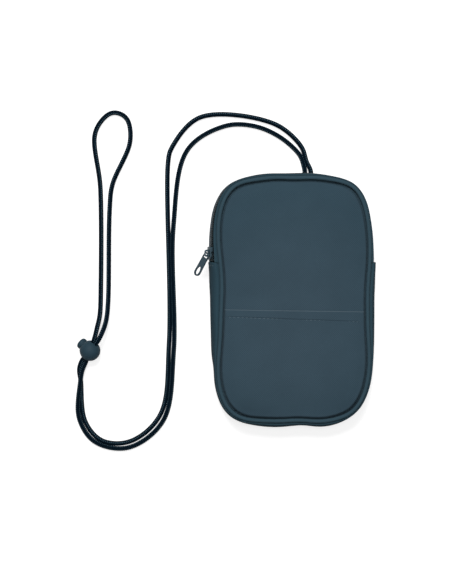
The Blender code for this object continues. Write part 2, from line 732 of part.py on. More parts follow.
def tab_matrix(frame):
    """The tab's frame: X along its bar, Y from its end to the bar, Z out of its face."""
    level = slider_levels()[3] + GAP + TAB_BAR_HEIGHT
    heading = Vector((cos(TAB_HEADING), sin(TAB_HEADING), 0))
    down = heading * cos(TAB_DROOP) - Vector((0, 0, sin(TAB_DROOP)))
    level_side = Vector((-heading.y, heading.x, 0))
    upper_side = down.cross(level_side)
    bar = level_side * cos(TAB_ROLL) + upper_side * sin(TAB_ROLL)
    face = bar.cross(-down)
    turn = Matrix((bar, -down, face)).transposed().to_4x4()
    return Matrix.Translation(frame @ Vector((0, 0, level))) @ turn


def tab_outline():
    """Square shoulders at the bar, straight flared sides and a round end."""
    root, end = TAB_ROOT_WIDTH / 2, TAB_END_WIDTH / 2
    top, low = TAB_BAR / 2, TAB_BAR / 2 - TAB_LENGTH
    chamfer = TAB_BAR / 2
    right = [(root - chamfer, top), (root, top - chamfer)]
    for step in range(7):
        turn = step / 6 * pi / 2
        right.append((end * cos(turn), low + end - end * sin(turn)))
    left = [(-x, y) for x, y in reversed(right[:-1])]
    return right + left


def tab_eye():
    """A teardrop, pointed towards the bar, inside the tab's round end."""
    wide = TAB_EYE_WIDTH / 2
    low = TAB_BAR / 2 - TAB_LENGTH + TAB_RIM
    high = low + TAB_EYE_LENGTH
    points = [(0, high)]
    for step in range(9):
        turn = step / 8 * pi
        points.append((wide * cos(turn), low + wide - wide * sin(turn)))
    return points


def make_tab(group, metal, frame):
    half = TAB_SLOT_WIDTH / 2
    top = -TAB_BAR / 2
    low = top - TAB_SLOT_LENGTH
    slot = [(-half, low), (half, low), (half, top), (-half, top)]
    loops = [tab_outline(), slot, tab_eye()]
    obj = plate("pull_tab", loops, -TAB_THICKNESS / 2, TAB_THICKNESS, group, metal)
    obj.matrix_world = tab_matrix(frame) @ obj.matrix_world
    return obj


def make_beads(group, mat):
    for name, height in (("front_piping", FRONT_SEAM_Z), ("back_piping", BACK_SEAM_Z)):
        points = seam_points(ring_angles(), height)
        tube(name, points, BEAD_RADIUS, group, mat, cyclic=True)


def make_bindings(group, mat):
    """Tapes round the raw seam edges, inside the panels' linings."""
    angles = ring_angles()
    near = BEAD_RADIUS + 2 * GAP
    for name, seam, side in (("front_seam_binding", FRONT_SEAM_Z, -1),
                             ("back_seam_binding", BACK_SEAM_Z, 1)):
        start, end = seam + side * near, seam + side * (near + BINDING_WIDTH)
        outer = PANEL_INSET - GAP
        inner = outer - BINDING_THICKNESS
        profile = [seam_points(angles, start, outer), seam_points(angles, end, outer),
                   seam_points(angles, end, inner), seam_points(angles, start, inner)]
        loft(name, np.stack(profile, axis=1), group, mat, closed=True)


def lock_matrix():
    """The lock's frame: X along the cords, Y across its slot, Z out along the plunger."""
    flat = cos(LOCK_RISE)
    along = Vector((cos(LOCK_HEADING) * flat, sin(LOCK_HEADING) * flat, sin(LOCK_RISE)))
    level = Vector((-sin(LOCK_HEADING), cos(LOCK_HEADING), 0))
    out = level * cos(LOCK_ROLL) + along.cross(level) * sin(LOCK_ROLL)
    turn = Matrix((along, out.cross(along), out)).transposed().to_4x4()
    return Matrix.Translation(LOCK_PLACE) @ turn


def plunger_heights():
    """Along the plunger at rest: its inner end, the window's two ends, the button."""
    window_low = -LOCK_SLOT_LENGTH / 2
    window_high = LOCK_SLOT_LENGTH / 2 + BUTTON_TRAVEL
    return window_low - PLUNGER_WALL, window_low, window_high, BUTTON_REACH - BUTTON_HEIGHT


def make_lock(group, cutters, shell, wire):
    """A ball with a slot for two cords, and a sprung plunger that pinches them."""
    inner, window_low, window_high, button = plunger_heights()
    shaft = PLUNGER_DIAMETER / 2
    bore = shaft + PLUNGER_CLEARANCE
    floor = inner - BUTTON_TRAVEL - GAP
    mouth = button - BUTTON_TRAVEL - GAP
    pocket = SPRING_POCKET_DIAMETER / 2
    wide_bore = BUTTON_DIAMETER / 2 + PLUNGER_CLEARANCE
    past = LOCK_RADIUS + OVERRUN
    half_width, half_length = LOCK_SLOT_WIDTH / 2, LOCK_SLOT_LENGTH / 2

    bm = bmesh.new()
    bmesh.ops.create_uvsphere(bm, u_segments=24, v_segments=16, radius=LOCK_RADIUS)
    ball = add_mesh("lock_body", bm, group, shell)
    profile = [(0, past), (wide_bore, past), (wide_bore, mouth), (bore, mouth), (bore, floor),
               (pocket, floor), (pocket, floor - SPRING_POCKET_DEPTH), (0, floor - SPRING_POCKET_DEPTH)]
    hole = turned("lock_bore", profile, group)
    slot = box("lock_slot", (-past, -half_width, -half_length), (past, half_width, half_length), group)
    for cutter in (hole, slot):
        combine(ball, as_cutter(cutter, cutters), "DIFFERENCE")

    rim = BUTTON_RIM
    cap = BUTTON_DIAMETER / 2
    profile = [(0, BUTTON_REACH), (cap - rim, BUTTON_REACH), (cap - rim * 0.3, BUTTON_REACH - rim * 0.3),
               (cap, BUTTON_REACH - rim), (cap, button), (shaft, button), (shaft, inner), (0, inner)]
    plunger = turned("lock_plunger", profile, group, shell)
    window = box("lock_window", (-past, -half_width, window_low), (past, half_width, window_high), group)
    combine(plunger, as_cutter(window, cutters), "DIFFERENCE")

    frame = lock_matrix()
    low = floor - SPRING_POCKET_DEPTH + GAP + SPRING_WIRE / 2
    high = inner - GAP - SPRING_WIRE / 2
    turns = np.linspace(0, 1, int(SPRING_TURNS * 10) + 1)
    radius = SPRING_DIAMETER / 2
    coil = [(radius * cos(2 * pi * SPRING_TURNS * t), radius * sin(2 * pi * SPRING_TURNS * t),
             low + (high - low) * t) for t in turns]
    spring = tube("lock_spring", coil, SPRING_WIRE / 2, group, wire, level=1)
    for obj in (ball, hole, slot, plunger, window, spring):
        obj.matrix_world = frame


def smooth_curve(points):
    """A centripetal Catmull-Rom curve, with CURVE_STEPS from point to point."""
    points = np.asarray(points, float)
    first = 2 * points[0] - points[1]
    last = 2 * points[-1] - points[-2]
    knots = np.vstack((first, points, last))
    pieces = []
    for p0, p1, p2, p3 in zip(knots, knots[1:], knots[2:], knots[3:]):
        t1 = np.sqrt(np.linalg.norm(p1 - p0))
        t2 = t1 + np.sqrt(np.linalg.norm(p2 - p1))
        t3 = t2 + np.sqrt(np.linalg.norm(p3 - p2))
        t = np.linspace(t1, t2, CURVE_STEPS, endpoint=False)[:, None]
        a1 = (t1 - t) / t1 * p0 + t / t1 * p1
        a2 = (t2 - t) / (t2 - t1) * p1 + (t - t1) / (t2 - t1) * p2
        a3 = (t3 - t) / (t3 - t2) * p2 + (t - t2) / (t3 - t2) * p3
        b1 = (t2 - t) / t2 * a1 + t / t2 * a2
        b2 = (t3 - t) / (t3 - t1) * a2 + (t - t1) / (t3 - t1) * a3
        pieces.append((t2 - t) / (t2 - t1) * b1 + (t - t1) / (t2 - t1) * b2)
    return np.vstack(pieces + [points[-1:]])


def spread_by_bend(line, count):
    """Fewer points along a dense line: one for each even share of run and turn."""
    steps = np.diff(line, axis=0)
    run = np.linalg.norm(steps, axis=1)
    ways = steps / run[:, None]
    turn = np.arccos(np.clip((ways[1:] * ways[:-1]).sum(axis=1), -1, 1))
    weight = run / run.sum() * (1 - BEND_SHARE)
    weight[1:] += turn / turn.sum() * BEND_SHARE
    total = np.concatenate(([0], np.cumsum(weight)))
    places = np.linspace(0, total[-1], count)
    return np.column_stack([np.interp(places, total, line[:, axis]) for axis in range(3)])


def cord_exit(x):
    """Where a cord's end meets the gusset's outer face, over the back bead."""
    angles = np.linspace(radians(60), radians(120), 601)
    line = wall_points(angles, (wall_turn(CORD_END_Z),))[:, 0]
    nearest = line[np.argmin(np.abs(line[:, 0] - x))]
    return np.array((x, nearest[1] + GAP, CORD_END_Z))


def lock_pass(side):
    """Four points where a cord passes the lock, up its slope (1) or down it (-1).

    The inner two are inside the ball, where the cords are pinched closer.
    """
    turn = np.array(lock_matrix().to_3x3())
    along, out = turn[:, 0] * side, turn[:, 2] * side
    inner = np.array(LOCK_PLACE) - out * LOCK_STACK
    outer = np.array(LOCK_PLACE) - out * LOCK_STACK_OUTSIDE
    return [outer - along * LOCK_RUN_IN, inner - along * LOCK_PINCH_RUN,
            inner + along * LOCK_PINCH_RUN, outer + along * LOCK_RUN_IN]


def make_cord(group, mat):
    """One tube: left exit, lock, far loop, lock again, right exit."""
    straight = np.array((0, CORD_DIAMETER, 0))
    left, right = cord_exit(CORD_LEFT_X), cord_exit(CORD_RIGHT_X)
    to_lock = [np.array(place) * MM for place in ROUTE_TO_LOCK]
    loop = [np.array(place) * MM for place in ROUTE_LOOP]
    from_lock = [np.array(place) * MM for place in ROUTE_FROM_LOCK]
    knots = [left, left + straight] + to_lock
    first_pass = len(knots) * CURVE_STEPS
    knots += lock_pass(1) + loop
    second_pass = len(knots) * CURVE_STEPS
    knots += lock_pass(-1) + from_lock + [right + straight, right]

    line = smooth_curve(knots)
    line[:, 2] = np.maximum(line[:, 2], CORD_REST_Z)
    across = 3 * CURVE_STEPS
    stretches = (line[:first_pass + 1], line[first_pass + across:second_pass + 1],
                 line[second_pass + across:])
    points, shares = [], []
    for stretch, count, start in zip(stretches, CORD_POINT_COUNTS, (first_pass, second_pass, 0)):
        points.append(spread_by_bend(stretch, count))
        shares += [1.0] * count
        if start:
            points.append(line[[start + CURVE_STEPS, start + 2 * CURVE_STEPS]])
            shares += [CORD_PINCH_SHARE] * 2
    tube("neck_cord", np.vstack(points), CORD_RADIUS, group, mat, shares=shares)


def build():
    clear_scene()
    parts = make_collection("crossbody_pouch")
    cutters = make_collection("cutters")
    cloth = material("slate_soft_cloth", (0.042, 0.070, 0.091), 0.8)
    foam = material("charcoal_foam", (0.05, 0.05, 0.055), 0.95)
    lining = material("black_lining", (0.02, 0.024, 0.028), 0.7)
    bead = material("slate_piping", (0.047, 0.078, 0.098), 0.7)
    tape = material("dark_zip_tape", (0.018, 0.034, 0.042), 0.85)
    coil = material("dark_nylon_coil", (0.03, 0.042, 0.045), 0.45)
    metal = material("gunmetal", (0.075, 0.095, 0.10), 0.4, 0.9)
    braid = material("navy_braid", (0.012, 0.025, 0.035), 0.8)
    shell = material("slate_plastic", (0.03, 0.055, 0.07), 0.5)
    wire = material("spring_steel", (0.5, 0.5, 0.52), 0.3, 1.0)
    make_panels(parts, cloth, foam, lining)
    make_pocket(parts, cloth)
    make_gusset(parts, cloth, lining)
    make_zip_strips(parts, cloth)
    make_tapes(parts, tape)
    make_coils(parts, coil)
    make_beads(parts, bead)
    make_bindings(parts, lining)
    frame = make_slider(parts, cutters, metal)
    make_bridge(parts, metal, frame)
    make_tab(parts, metal, frame)
    make_cord(parts, braid)
    make_lock(parts, cutters, shell, wire)


build()
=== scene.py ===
"""Looks of the padded crossbody pouch: cloth, piping, zip, neck cord and ball lock.

Metres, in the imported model's frame: the origin is under the back panel's centre,
+Y runs to the pouch's top and +Z out of its front.
"""

import json

import bmesh
import bpy
import numpy as np
from math import cos, pi, radians, sin
from mathutils import Matrix, Vector

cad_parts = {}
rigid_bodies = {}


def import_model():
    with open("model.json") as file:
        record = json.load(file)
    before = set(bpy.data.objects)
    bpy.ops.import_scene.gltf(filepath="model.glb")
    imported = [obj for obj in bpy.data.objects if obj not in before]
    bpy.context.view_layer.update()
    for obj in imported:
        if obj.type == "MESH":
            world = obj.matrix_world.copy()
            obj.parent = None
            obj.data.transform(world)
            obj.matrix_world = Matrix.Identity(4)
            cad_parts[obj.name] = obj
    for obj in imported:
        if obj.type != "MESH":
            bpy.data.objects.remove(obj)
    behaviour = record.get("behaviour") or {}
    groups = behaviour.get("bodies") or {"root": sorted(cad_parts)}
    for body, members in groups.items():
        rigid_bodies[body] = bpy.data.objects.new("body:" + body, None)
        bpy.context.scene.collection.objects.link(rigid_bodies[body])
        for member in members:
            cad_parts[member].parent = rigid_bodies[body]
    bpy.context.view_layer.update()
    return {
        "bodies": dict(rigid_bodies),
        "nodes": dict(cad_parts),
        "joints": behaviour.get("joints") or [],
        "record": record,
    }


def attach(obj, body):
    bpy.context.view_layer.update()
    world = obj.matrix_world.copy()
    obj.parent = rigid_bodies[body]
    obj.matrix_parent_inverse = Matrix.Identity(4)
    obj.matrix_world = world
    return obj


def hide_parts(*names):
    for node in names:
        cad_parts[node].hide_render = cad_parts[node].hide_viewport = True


MM = 0.001

# Photograph: straight down, 1.1 m over the table
CAMERA_X = -47.1 * MM
CAMERA_Y = 5.4 * MM
CAMERA_HEIGHT = 1.1
VIEW_HEIGHT = 419.2 * MM  # of the table that the picture takes in
SENSOR = 36.0

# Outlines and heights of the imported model. The waves say in millimetres, at every
# 10 degrees, how far the outlines stand off their ovals. A fitting script worked
# them out from the photograph, and the body's are pulled in on the right since.
BODY_HALF = np.array((58.2, 89.9)) * MM
BODY_SQUARENESS = 4.0
SEAM_HALF = np.array((51.3, 85.6)) * MM
SEAM_SQUARENESS = 5.6
SEAM_WAVES = (
    0.3, 1.0, 2.0, 1.7, 0.3, -1.2, -1.3, -0.4, -0.1, -0.3, -0.1, -0.4,
    -1.2, -0.6, 1.5, 2.5, 1.2, -0.3, -0.3, 0.3, 1.1, 2.6, 2.2, 0.7,
    0.1, 0.1, 0.1, -0.3, -0.1, 0.3, -0.7, -1.5, 0.0, 1.7, 1.1, 0.4,
)
BODY_WAVES = (
    -0.1, -0.2, -0.3, -1.1, -0.5, -0.5, -1.0, -0.5, 0.2, 0.0, -0.1, -0.2,
    -0.4, 0.8, 2.0, 1.7, 1.2, 0.5, 0.2, -0.1, -0.4, -0.5, 0.7, 1.2,
    0.5, 0.3, 0.3, -0.2, 0.1, 0.5, -0.2, -0.6, -0.3, -0.4, -0.3, -0.2,
)
BEAD_RADIUS = 1.4 * MM
BACK_SEAM_Z = 1.9 * MM
SEAM_DEPTH = 20.3 * MM
FRONT_SEAM_Z = BACK_SEAM_Z + SEAM_DEPTH
MIDDLE_Z = (BACK_SEAM_Z + FRONT_SEAM_Z) / 2
LEAN = np.array((0.9, 0.35)) * MM
GUSSET_STANDOFF = 2.0 * MM
GUSSET_DROP = 0.4 * MM
GUSSET_THICKNESS = 1.3 * MM
ZIP_END_Y = 26.7 * MM
ZIP_CENTRE_Z = 16.2 * MM
ZIP_OPENING = 6.6 * MM
FOLD_LEAN = 0.27
TAPE_DEPTH = 1.6 * MM
TAPE_THICKNESS = 0.6 * MM
SLIDER_FROM_END = 6.2 * MM
SLIDER_TRAVEL = 16.0 * MM
SLIDER_ROLL = radians(4.0)
SLIDER_TOP = 1.45 * MM
SLIDER_UPPER = 0.45 * MM
SLIDER_LOWER = -3.2 * MM
SLIDER_BASE = -4.2 * MM
TAB_HEADING = radians(-118.5)
TAB_DROOP = radians(8.0)
TAB_ROLL = radians(43.0)
TAB_SHIFT = 0.85 * MM  # along its bar, to one side of the bow

# Front panel and pocket
EDGE_INSET = 2.05 * MM
TOP_INSET = 0.45 * MM  # more than that at the top
UNDER_INSET = EDGE_INSET + TOP_INSET + 0.3 * MM  # of foam and lining
EDGE_ROLL = 2.2 * MM
EDGE_ROLL_WIDTH = 1.4 * MM
FRONT_EDGE_Z = 22.6 * MM
PANEL_STEP = 1.6 * MM
PANEL_ROWS = 26
CROWN = 2.0 * MM
CROWN_REACH = 50 * MM
EDGE_LIP = 1.1 * MM
LIP_THICKNESS = 0.35 * MM
EDGE_STEPS = np.array((0, 0.04, 0.1, 0.18, 0.28, 0.4, 0.54, 0.7, 0.88, 1.08, 1.3,
                       1.6, 2.1, 2.8, 3.8, 5.2, 7.0)) * MM
POCKET_THICKNESS = 0.7 * MM
COVER_THICKNESS = 0.9 * MM
BACK_COVER_THICKNESS = 1.15 * MM
FOAM_THICKNESS = 2.0 * MM
LINING_THICKNESS = 0.5 * MM
SWELL_FADE = 8 * MM  # from the edge inwards
HEM_DEPTH = 6.4 * MM
HEM_SLOPE = 0.022
LAP_SEAM = 2.4 * MM  # of the gusset's sewn line from its ends
TURN_RUN = 7.5 * MM  # of cloth to a radian of turn
TURN_WEAVE = 9.5  # mm of the knit's pattern to a radian of turn
COIL_WIRE = 0.27 * MM
COIL_SIDES = 6
MOUTH_Y = -7.45 * MM
MOUTH_SLOPE = 0.0146
# Width and share of the painted highlight along the pocket's folded mouth
MOUTH_HIGHLIGHT = 0.75 * MM
HIGHLIGHT_SHARE = 0.33

# Knit, tape and threads
KNIT_CELL = 1.5 * MM
KNIT_WALE = 0.375 * MM
TAPE_RIB = 0.5 * MM
TAPE_FOLD = 0.9 * MM
STITCH_PITCH = 3.0 * MM
STITCH_LENGTH = 2.3 * MM
STITCH_RADIUS = 0.17 * MM
STITCH_SINK = 0.1 * MM
STITCH_RISE = 0.12 * MM

# Simulation of the cloth
SIM_STEP = 5.0 * MM
SIM_ROWS = 13
SIM_WALL_ROWS = 7
SIM_SLACK = 0.004
SIM_PRESSURE = 4.0
SIM_FRAMES = 20
SIM_CAP = 1.2 * MM

# Cord and lock
CORD_RADIUS = 1.5 * MM
CORD_REST_Z = 1.77 * MM
CORD_END_Z = 4.6 * MM
CORD_ENDS_X = (9.3 * MM, 13.6 * MM)
CORD_STEP = 0.3 * MM
CORD_EASE = 4.0 * MM
CORD_SIDES = 24
BRAID_COUNT = 4
BRAID_PITCH = 1.4 * MM
LOCK_CENTRE = np.array((-144.0, -36.4, 8.0)) * MM
LOCK_RADIUS = 7.35 * MM
LOCK_HEADING = radians(59.0)
LOCK_RISE = radians(22.0)
LOCK_ROLL = radians(-21.8)
LOCK_STACK = 1.4 * MM
LOCK_STACK_OUTSIDE = 1.65 * MM
LOCK_PINCH_RUN = 7.6 * MM
LOCK_RUN_IN = 9.5 * MM
PINCH_SHARE = 0.85
SPRING_WIRE = 0.2 * MM
SPRING_RADIUS = 1.8 * MM

# The cord's route, in millimetres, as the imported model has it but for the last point
# before the lock. Most points were fitted to the photograph by a script.
ROUTE_TO_LOCK = (
    (8.3, 96.6, 1.8), (6.1, 103.0, 1.6), (-7.5, 115.8, 1.6), (-26.6, 124.2, 1.6),
    (-48.2, 124.2, 1.6), (-74.8, 107.1, 1.6), (-84.8, 52.5, 1.6), (-84.6, -37.1, 1.6),
    (-92.2, -86.9, 1.6), (-116.8, -106.0, 1.6), (-140.9, -102.0, 1.6), (-152.4, -84.8, 1.6),
    (-151.1, -58.2, 4.9), (-149.7, -50.2, 5.4),
)
ROUTE_LOOP = (
    (-135.0, -23.4, 12.0), (-132.5, -14.5, 7.4), (-131.4, 2.5, 1.8), (-130.5, 64.2, 1.6),
    (-128.6, 82.0, 1.6), (-115.8, 113.6, 1.6), (-118.7, 130.2, 1.6), (-129.0, 133.7, 1.6),
    (-140.6, 120.3, 1.6), (-137.1, 79.3, 1.6), (-136.9, 0.5, 1.8), (-137.3, -11.6, 5.6),
    (-138.9, -20.6, 10.8),
)
ROUTE_FROM_LOCK = (
    (-152.2, -49.8, 2.6), (-151.2, -57.8, 1.6), (-148.1, -87.0, 1.6), (-136.0, -101.0, 1.6),
    (-115.5, -101.5, 1.6), (-94.2, -82.5, 1.6), (-87.9, -31.1, 1.6), (-88.6, 98.2, 1.6),
    (-86.2, 108.3, 1.6), (-65.7, 130.5, 1.6), (-13.0, 126.1, 1.6), (6.9, 109.5, 1.6),
    (10.6, 98.6, 1.6),
)

# Colours, sRGB
CLOTH = "384954"
# Painted shade: the cloth's darker colour towards the rim of the front panel and pocket
CLOTH_RIM_SHADE = "324550"
# Painted shade: a darker copy of the cloth for the piping, for the shade along the grooves beside the bead
PIPING_SHADED = "31454F"
# Painted shade: a darker copy of the cloth for the gusset's sides, turned away from the light overhead
GUSSET_SHADED_CLOTH = "2B404A"
# Painted highlight along the pocket's folded mouth
FOLD_HIGHLIGHT = "66747C"
LINING = "1D2327"
FOAM = "33363A"
TAPE = "1C272D"
COIL = "1E292E"
METAL = "283A43"
CORD = "03101B"
# Painted highlights: small glints on the braid's crests
CORD_GLINT = "557280"
LOCK_PLASTIC = "21343E"
THREAD = "475861"


# Materials

def linear(colour):
    """Linear RGBA of an sRGB hex code."""
    value = np.array([int(colour[i:i + 2], 16) for i in (0, 2, 4)]) / 255
    value = np.where(value <= 0.04045, value / 12.92, ((value + 0.055) / 1.055) ** 2.4)
    return (*value, 1.0)


def add(tree, kind, inputs=None, **settings):
    """One node. An input is a value, or a socket to link from."""
    made = tree.nodes.new("ShaderNode" + kind)
    for key, value in settings.items():
        setattr(made, key, value)
    for key, value in (inputs or {}).items():
        if isinstance(value, bpy.types.NodeSocket):
            tree.links.new(value, made.inputs[key])
        else:
            made.inputs[key].default_value = value
    return made


def calc(tree, operation, *values):
    return add(tree, "Math", dict(enumerate(values)), operation=operation).outputs[0]


def start_material(name, roughness, metallic=0.0, specular=0.02, sheen=0.0):
    mat = bpy.data.materials.new(name)
    mat.use_nodes = True
    shader = mat.node_tree.nodes["Principled BSDF"]
    shader.inputs["Roughness"].default_value = roughness
    shader.inputs["Metallic"].default_value = metallic
    shader.inputs["Specular IOR Level"].default_value = specular
    shader.inputs["Sheen Weight"].default_value = sheen
    shader.inputs["Sheen Roughness"].default_value = 0.5
    return mat, mat.node_tree, shader


def surface_place(tree, flat):
    """Place on the cloth in metres: X and Y for a flat piece, its own UV for others."""
    coords = add(tree, "TexCoord")
    return coords.outputs["Object" if flat else "UV"]


def mottle(tree, place, colour, scale, spread):
    """The colour, a little lighter and darker in soft patches."""
    noise = add(tree, "TexNoise", {"Vector": place, "Scale": scale, "Detail": 3.0}).outputs["Fac"]
    base = np.array(linear(colour))
    low, high = base * (1 - spread), base * (1 + spread)
    low[3] = high[3] = 1.0
    ramp = add(tree, "ValToRGB", {"Fac": noise})
    ramp.color_ramp.elements[0].position = 0.3
    ramp.color_ramp.elements[0].color = low
    ramp.color_ramp.elements[1].position = 0.7
    ramp.color_ramp.elements[1].color = high
    return ramp.outputs["Color"]


def blend(tree, factor, low, high, kind="MIX"):
    """Two colours or values mixed by a factor."""
    mixed = add(tree, "Mix", {"Factor": factor}, data_type="RGBA", blend_type=kind)
    for key, value in (("A", low), ("B", high)):
        if isinstance(value, bpy.types.NodeSocket):
            tree.links.new(value, mixed.inputs[key])
        else:
            mixed.inputs[key].default_value = value
    return mixed.outputs["Result"]


def roughen(tree, shader, height, strength, distance):
    """Tilts the surface by a height."""
    bump = add(tree, "Bump", {"Height": height, "Strength": strength, "Distance": distance})
    tree.links.new(bump.outputs["Normal"], shader.inputs["Normal"])


def shade_by(tree, colour, height, depth):
    """The colour, darkened by depth where height is 0."""
    value = calc(tree, "ADD", calc(tree, "MULTIPLY", height, depth), 1 - depth)
    return blend(tree, 1.0, colour, value, "MULTIPLY")


def wave(tree, value, period):
    """The sine of a place along one axis, with its crests a period apart."""
    return calc(tree, "SINE", calc(tree, "MULTIPLY", value, 2 * pi / period))


def rim_shade(tree, place, colour, edge):
    """Painted shade: one colour in the middle of the pouch and a darker one towards its rim."""
    inputs = {"Vector": place, "Location": (0.0, 0.17, 0.0), "Scale": (14.0, 11.0, 0.0)}
    flat = add(tree, "Mapping", inputs)
    away = add(tree, "VectorMath", {0: flat.outputs[0]}, operation="LENGTH").outputs["Value"]
    return blend(tree, calc(tree, "POWER", away, 2.0), colour, edge)


def fold_highlight(tree, place, colour):
    """Painted highlight: the colour, paler in a thin line along the pocket's folded mouth, where the fold
    catches the light.
    """
    split = add(tree, "SeparateXYZ", {0: place})
    slope = calc(tree, "MULTIPLY", split.outputs[0], MOUTH_SLOPE)
    under = calc(tree, "SUBTRACT", calc(tree, "SUBTRACT", MOUTH_Y, slope), split.outputs[1])
    near = calc(tree, "MULTIPLY", calc(tree, "SUBTRACT", under, MOUTH_HIGHLIGHT / 2), 2 / MOUTH_HIGHLIGHT)
    square = calc(tree, "POWER", calc(tree, "ABSOLUTE", near), 2.0)
    highlight_mask = calc(tree, "SUBTRACT", 1.0, calc(tree, "MINIMUM", square, 1.0))
    return blend(tree, calc(tree, "MULTIPLY", highlight_mask, HIGHLIGHT_SHARE), colour, linear(FOLD_HIGHLIGHT))


def pique_cloth(name, colour, edge=None, flat=False, fold=False, depth=0.42):
    """Fine pique knit over foam: dimples in a lattice, made of rows of small loops.

    The dimples' height is (1 + sin(2 pi x / cell) sin(2 pi y / cell)) / 2, and the
    loops' is |sin(pi (y / wale + |frac(x / wale) - 1/2|))|.
    """
    mat, tree, shader = start_material(name, 0.85, sheen=0.02)
    place = surface_place(tree, flat)
    split = add(tree, "SeparateXYZ", {0: place})
    across, up = split.outputs[0], split.outputs[1]
    lattice = calc(tree, "MULTIPLY", wave(tree, across, KNIT_CELL), wave(tree, up, KNIT_CELL))
    dimple = calc(tree, "MULTIPLY", calc(tree, "ADD", lattice, 1.0), 0.5)
    share = calc(tree, "FRACT", calc(tree, "DIVIDE", across, KNIT_WALE))
    side = calc(tree, "ABSOLUTE", calc(tree, "SUBTRACT", share, 0.5))
    slant = calc(tree, "ADD", calc(tree, "DIVIDE", up, KNIT_WALE), side)
    loop = calc(tree, "ABSOLUTE", calc(tree, "SINE", calc(tree, "MULTIPLY", slant, pi)))
    height = calc(tree, "ADD", calc(tree, "MULTIPLY", dimple, 0.65), calc(tree, "MULTIPLY", loop, 0.35))
    patches = mottle(tree, place, colour, 45.0, 0.04)
    # Painted shade: the cloth darkens towards the rim
    if edge:
        patches = rim_shade(tree, place, patches, mottle(tree, place, edge, 45.0, 0.04))
    # Painted highlight along the pocket's folded mouth
    if fold:
        patches = fold_highlight(tree, place, patches)
    tree.links.new(shade_by(tree, patches, height, depth), shader.inputs["Base Color"])
    roughen(tree, shader, height, 0.45, 0.07 * MM)
    return mat


def woven_tape(name, colour):
    """Herringbone tape: ribs that slant one way and then the other."""
    mat, tree, shader = start_material(name, 0.85)
    place = surface_place(tree, False)
    split = add(tree, "SeparateXYZ", {0: place})
    along, across = split.outputs[0], split.outputs[1]
    fold = calc(tree, "PINGPONG", across, TAPE_FOLD)
    phase = calc(tree, "DIVIDE", calc(tree, "ADD", along, fold), TAPE_RIB)
    height = calc(tree, "ABSOLUTE", calc(tree, "SINE", calc(tree, "MULTIPLY", phase, pi)))
    patches = mottle(tree, place, colour, 200.0, 0.08)
    tree.links.new(shade_by(tree, patches, height, 0.35), shader.inputs["Base Color"])
    roughen(tree, shader, height, 0.7, 0.08 * MM)
    return mat


def braided(name, colour, glint):
    """A round braid. UV is the run in metres and the turn as a share.

    Crests lie where |sin(pi (n v + u / q)) sin(pi (n v - u / q))| is 1, and the crests of
    the strands that run the one way carry painted highlights in small flecks.
    """
    mat, tree, shader = start_material(name, 0.7)
    place = surface_place(tree, False)
    split = add(tree, "SeparateXYZ", {0: place})
    run = calc(tree, "DIVIDE", split.outputs[0], BRAID_PITCH)
    turn = calc(tree, "MULTIPLY", split.outputs[1], float(BRAID_COUNT))
    first = calc(tree, "SINE", calc(tree, "MULTIPLY", calc(tree, "ADD", turn, run), pi))
    second = calc(tree, "SINE", calc(tree, "MULTIPLY", calc(tree, "SUBTRACT", turn, run), pi))
    both = calc(tree, "MULTIPLY", first, second)
    height = calc(tree, "POWER", calc(tree, "ABSOLUTE", both), 0.6)
    crest = calc(tree, "MULTIPLY", calc(tree, "SUBTRACT", both, 0.6), 2.6)
    crest = calc(tree, "MAXIMUM", crest, 0.0)
    # Painted highlights: flecks of light in noise, on the crests only
    threads = add(tree, "TexNoise", {"Vector": place, "Scale": 420.0, "Detail": 2.0}).outputs["Fac"]
    thread = calc(tree, "SUBTRACT", calc(tree, "MULTIPLY", threads, 4.0), 1.3)
    lit = calc(tree, "MULTIPLY", crest, calc(tree, "MAXIMUM", thread, 0.0))
    mixed = blend(tree, lit, linear(colour), linear(glint))
    tree.links.new(shade_by(tree, mixed, height, 0.6), shader.inputs["Base Color"])
    roughen(tree, shader, height, 0.8, 0.12 * MM)
    return mat


def grained(name, colour, roughness, scale, depth, metallic=0.0, spread=0.06, specular=0.3):
    """Moulded, cast or foamed stuff with a fine grain."""
    mat, tree, shader = start_material(name, roughness, metallic, specular)
    place = add(tree, "TexCoord").outputs["Object"]
    tree.links.new(mottle(tree, place, colour, scale / 8, spread), shader.inputs["Base Color"])
    noise = add(tree, "TexNoise", {"Vector": place, "Scale": scale, "Detail": 4.0})
    roughen(tree, shader, noise.outputs["Fac"], 0.4, depth)
    return mat


def make_materials():
    return {
        "cloth": pique_cloth("slate_pique", CLOTH, CLOTH_RIM_SHADE, flat=True),
        "pocket": pique_cloth("slate_pique_pocket_highlighted", CLOTH, CLOTH_RIM_SHADE, flat=True, fold=True),
        # Painted shade: the gusset takes a darker copy of the panel's cloth
        "gusset": pique_cloth("slate_pique_gusset_shaded", GUSSET_SHADED_CLOTH, depth=0.28),
        # Painted shade: the piping takes a darker copy of the panel's cloth
        "piping": pique_cloth("slate_pique_piping_shaded", PIPING_SHADED, depth=0.28),
        "lining": woven_tape("black_lining_cloth", LINING),
        "foam": grained("charcoal_foam", FOAM, 0.95, 4000.0, 0.1 * MM, specular=0.1),
        "tape": woven_tape("dark_zip_tape", TAPE),
        "coil": grained("dark_nylon_coil", COIL, 0.45, 3000.0, 0.01 * MM, specular=0.3),
        "metal": grained("gunmetal_plating", METAL, 0.45, 2500.0, 0.01 * MM, metallic=0.3),
        "braid": braided("navy_braid", CORD, CORD_GLINT),
        "plastic": grained("slate_plastic", LOCK_PLASTIC, 0.6, 2200.0, 0.02 * MM, specular=0.1),
        "thread": grained("slate_thread", THREAD, 0.7, 6000.0, 0.03 * MM),
        "steel": grained("spring_steel", "B4B4B8", 0.3, 2000.0, 0.005 * MM, metallic=1.0),
    }


# Meshes

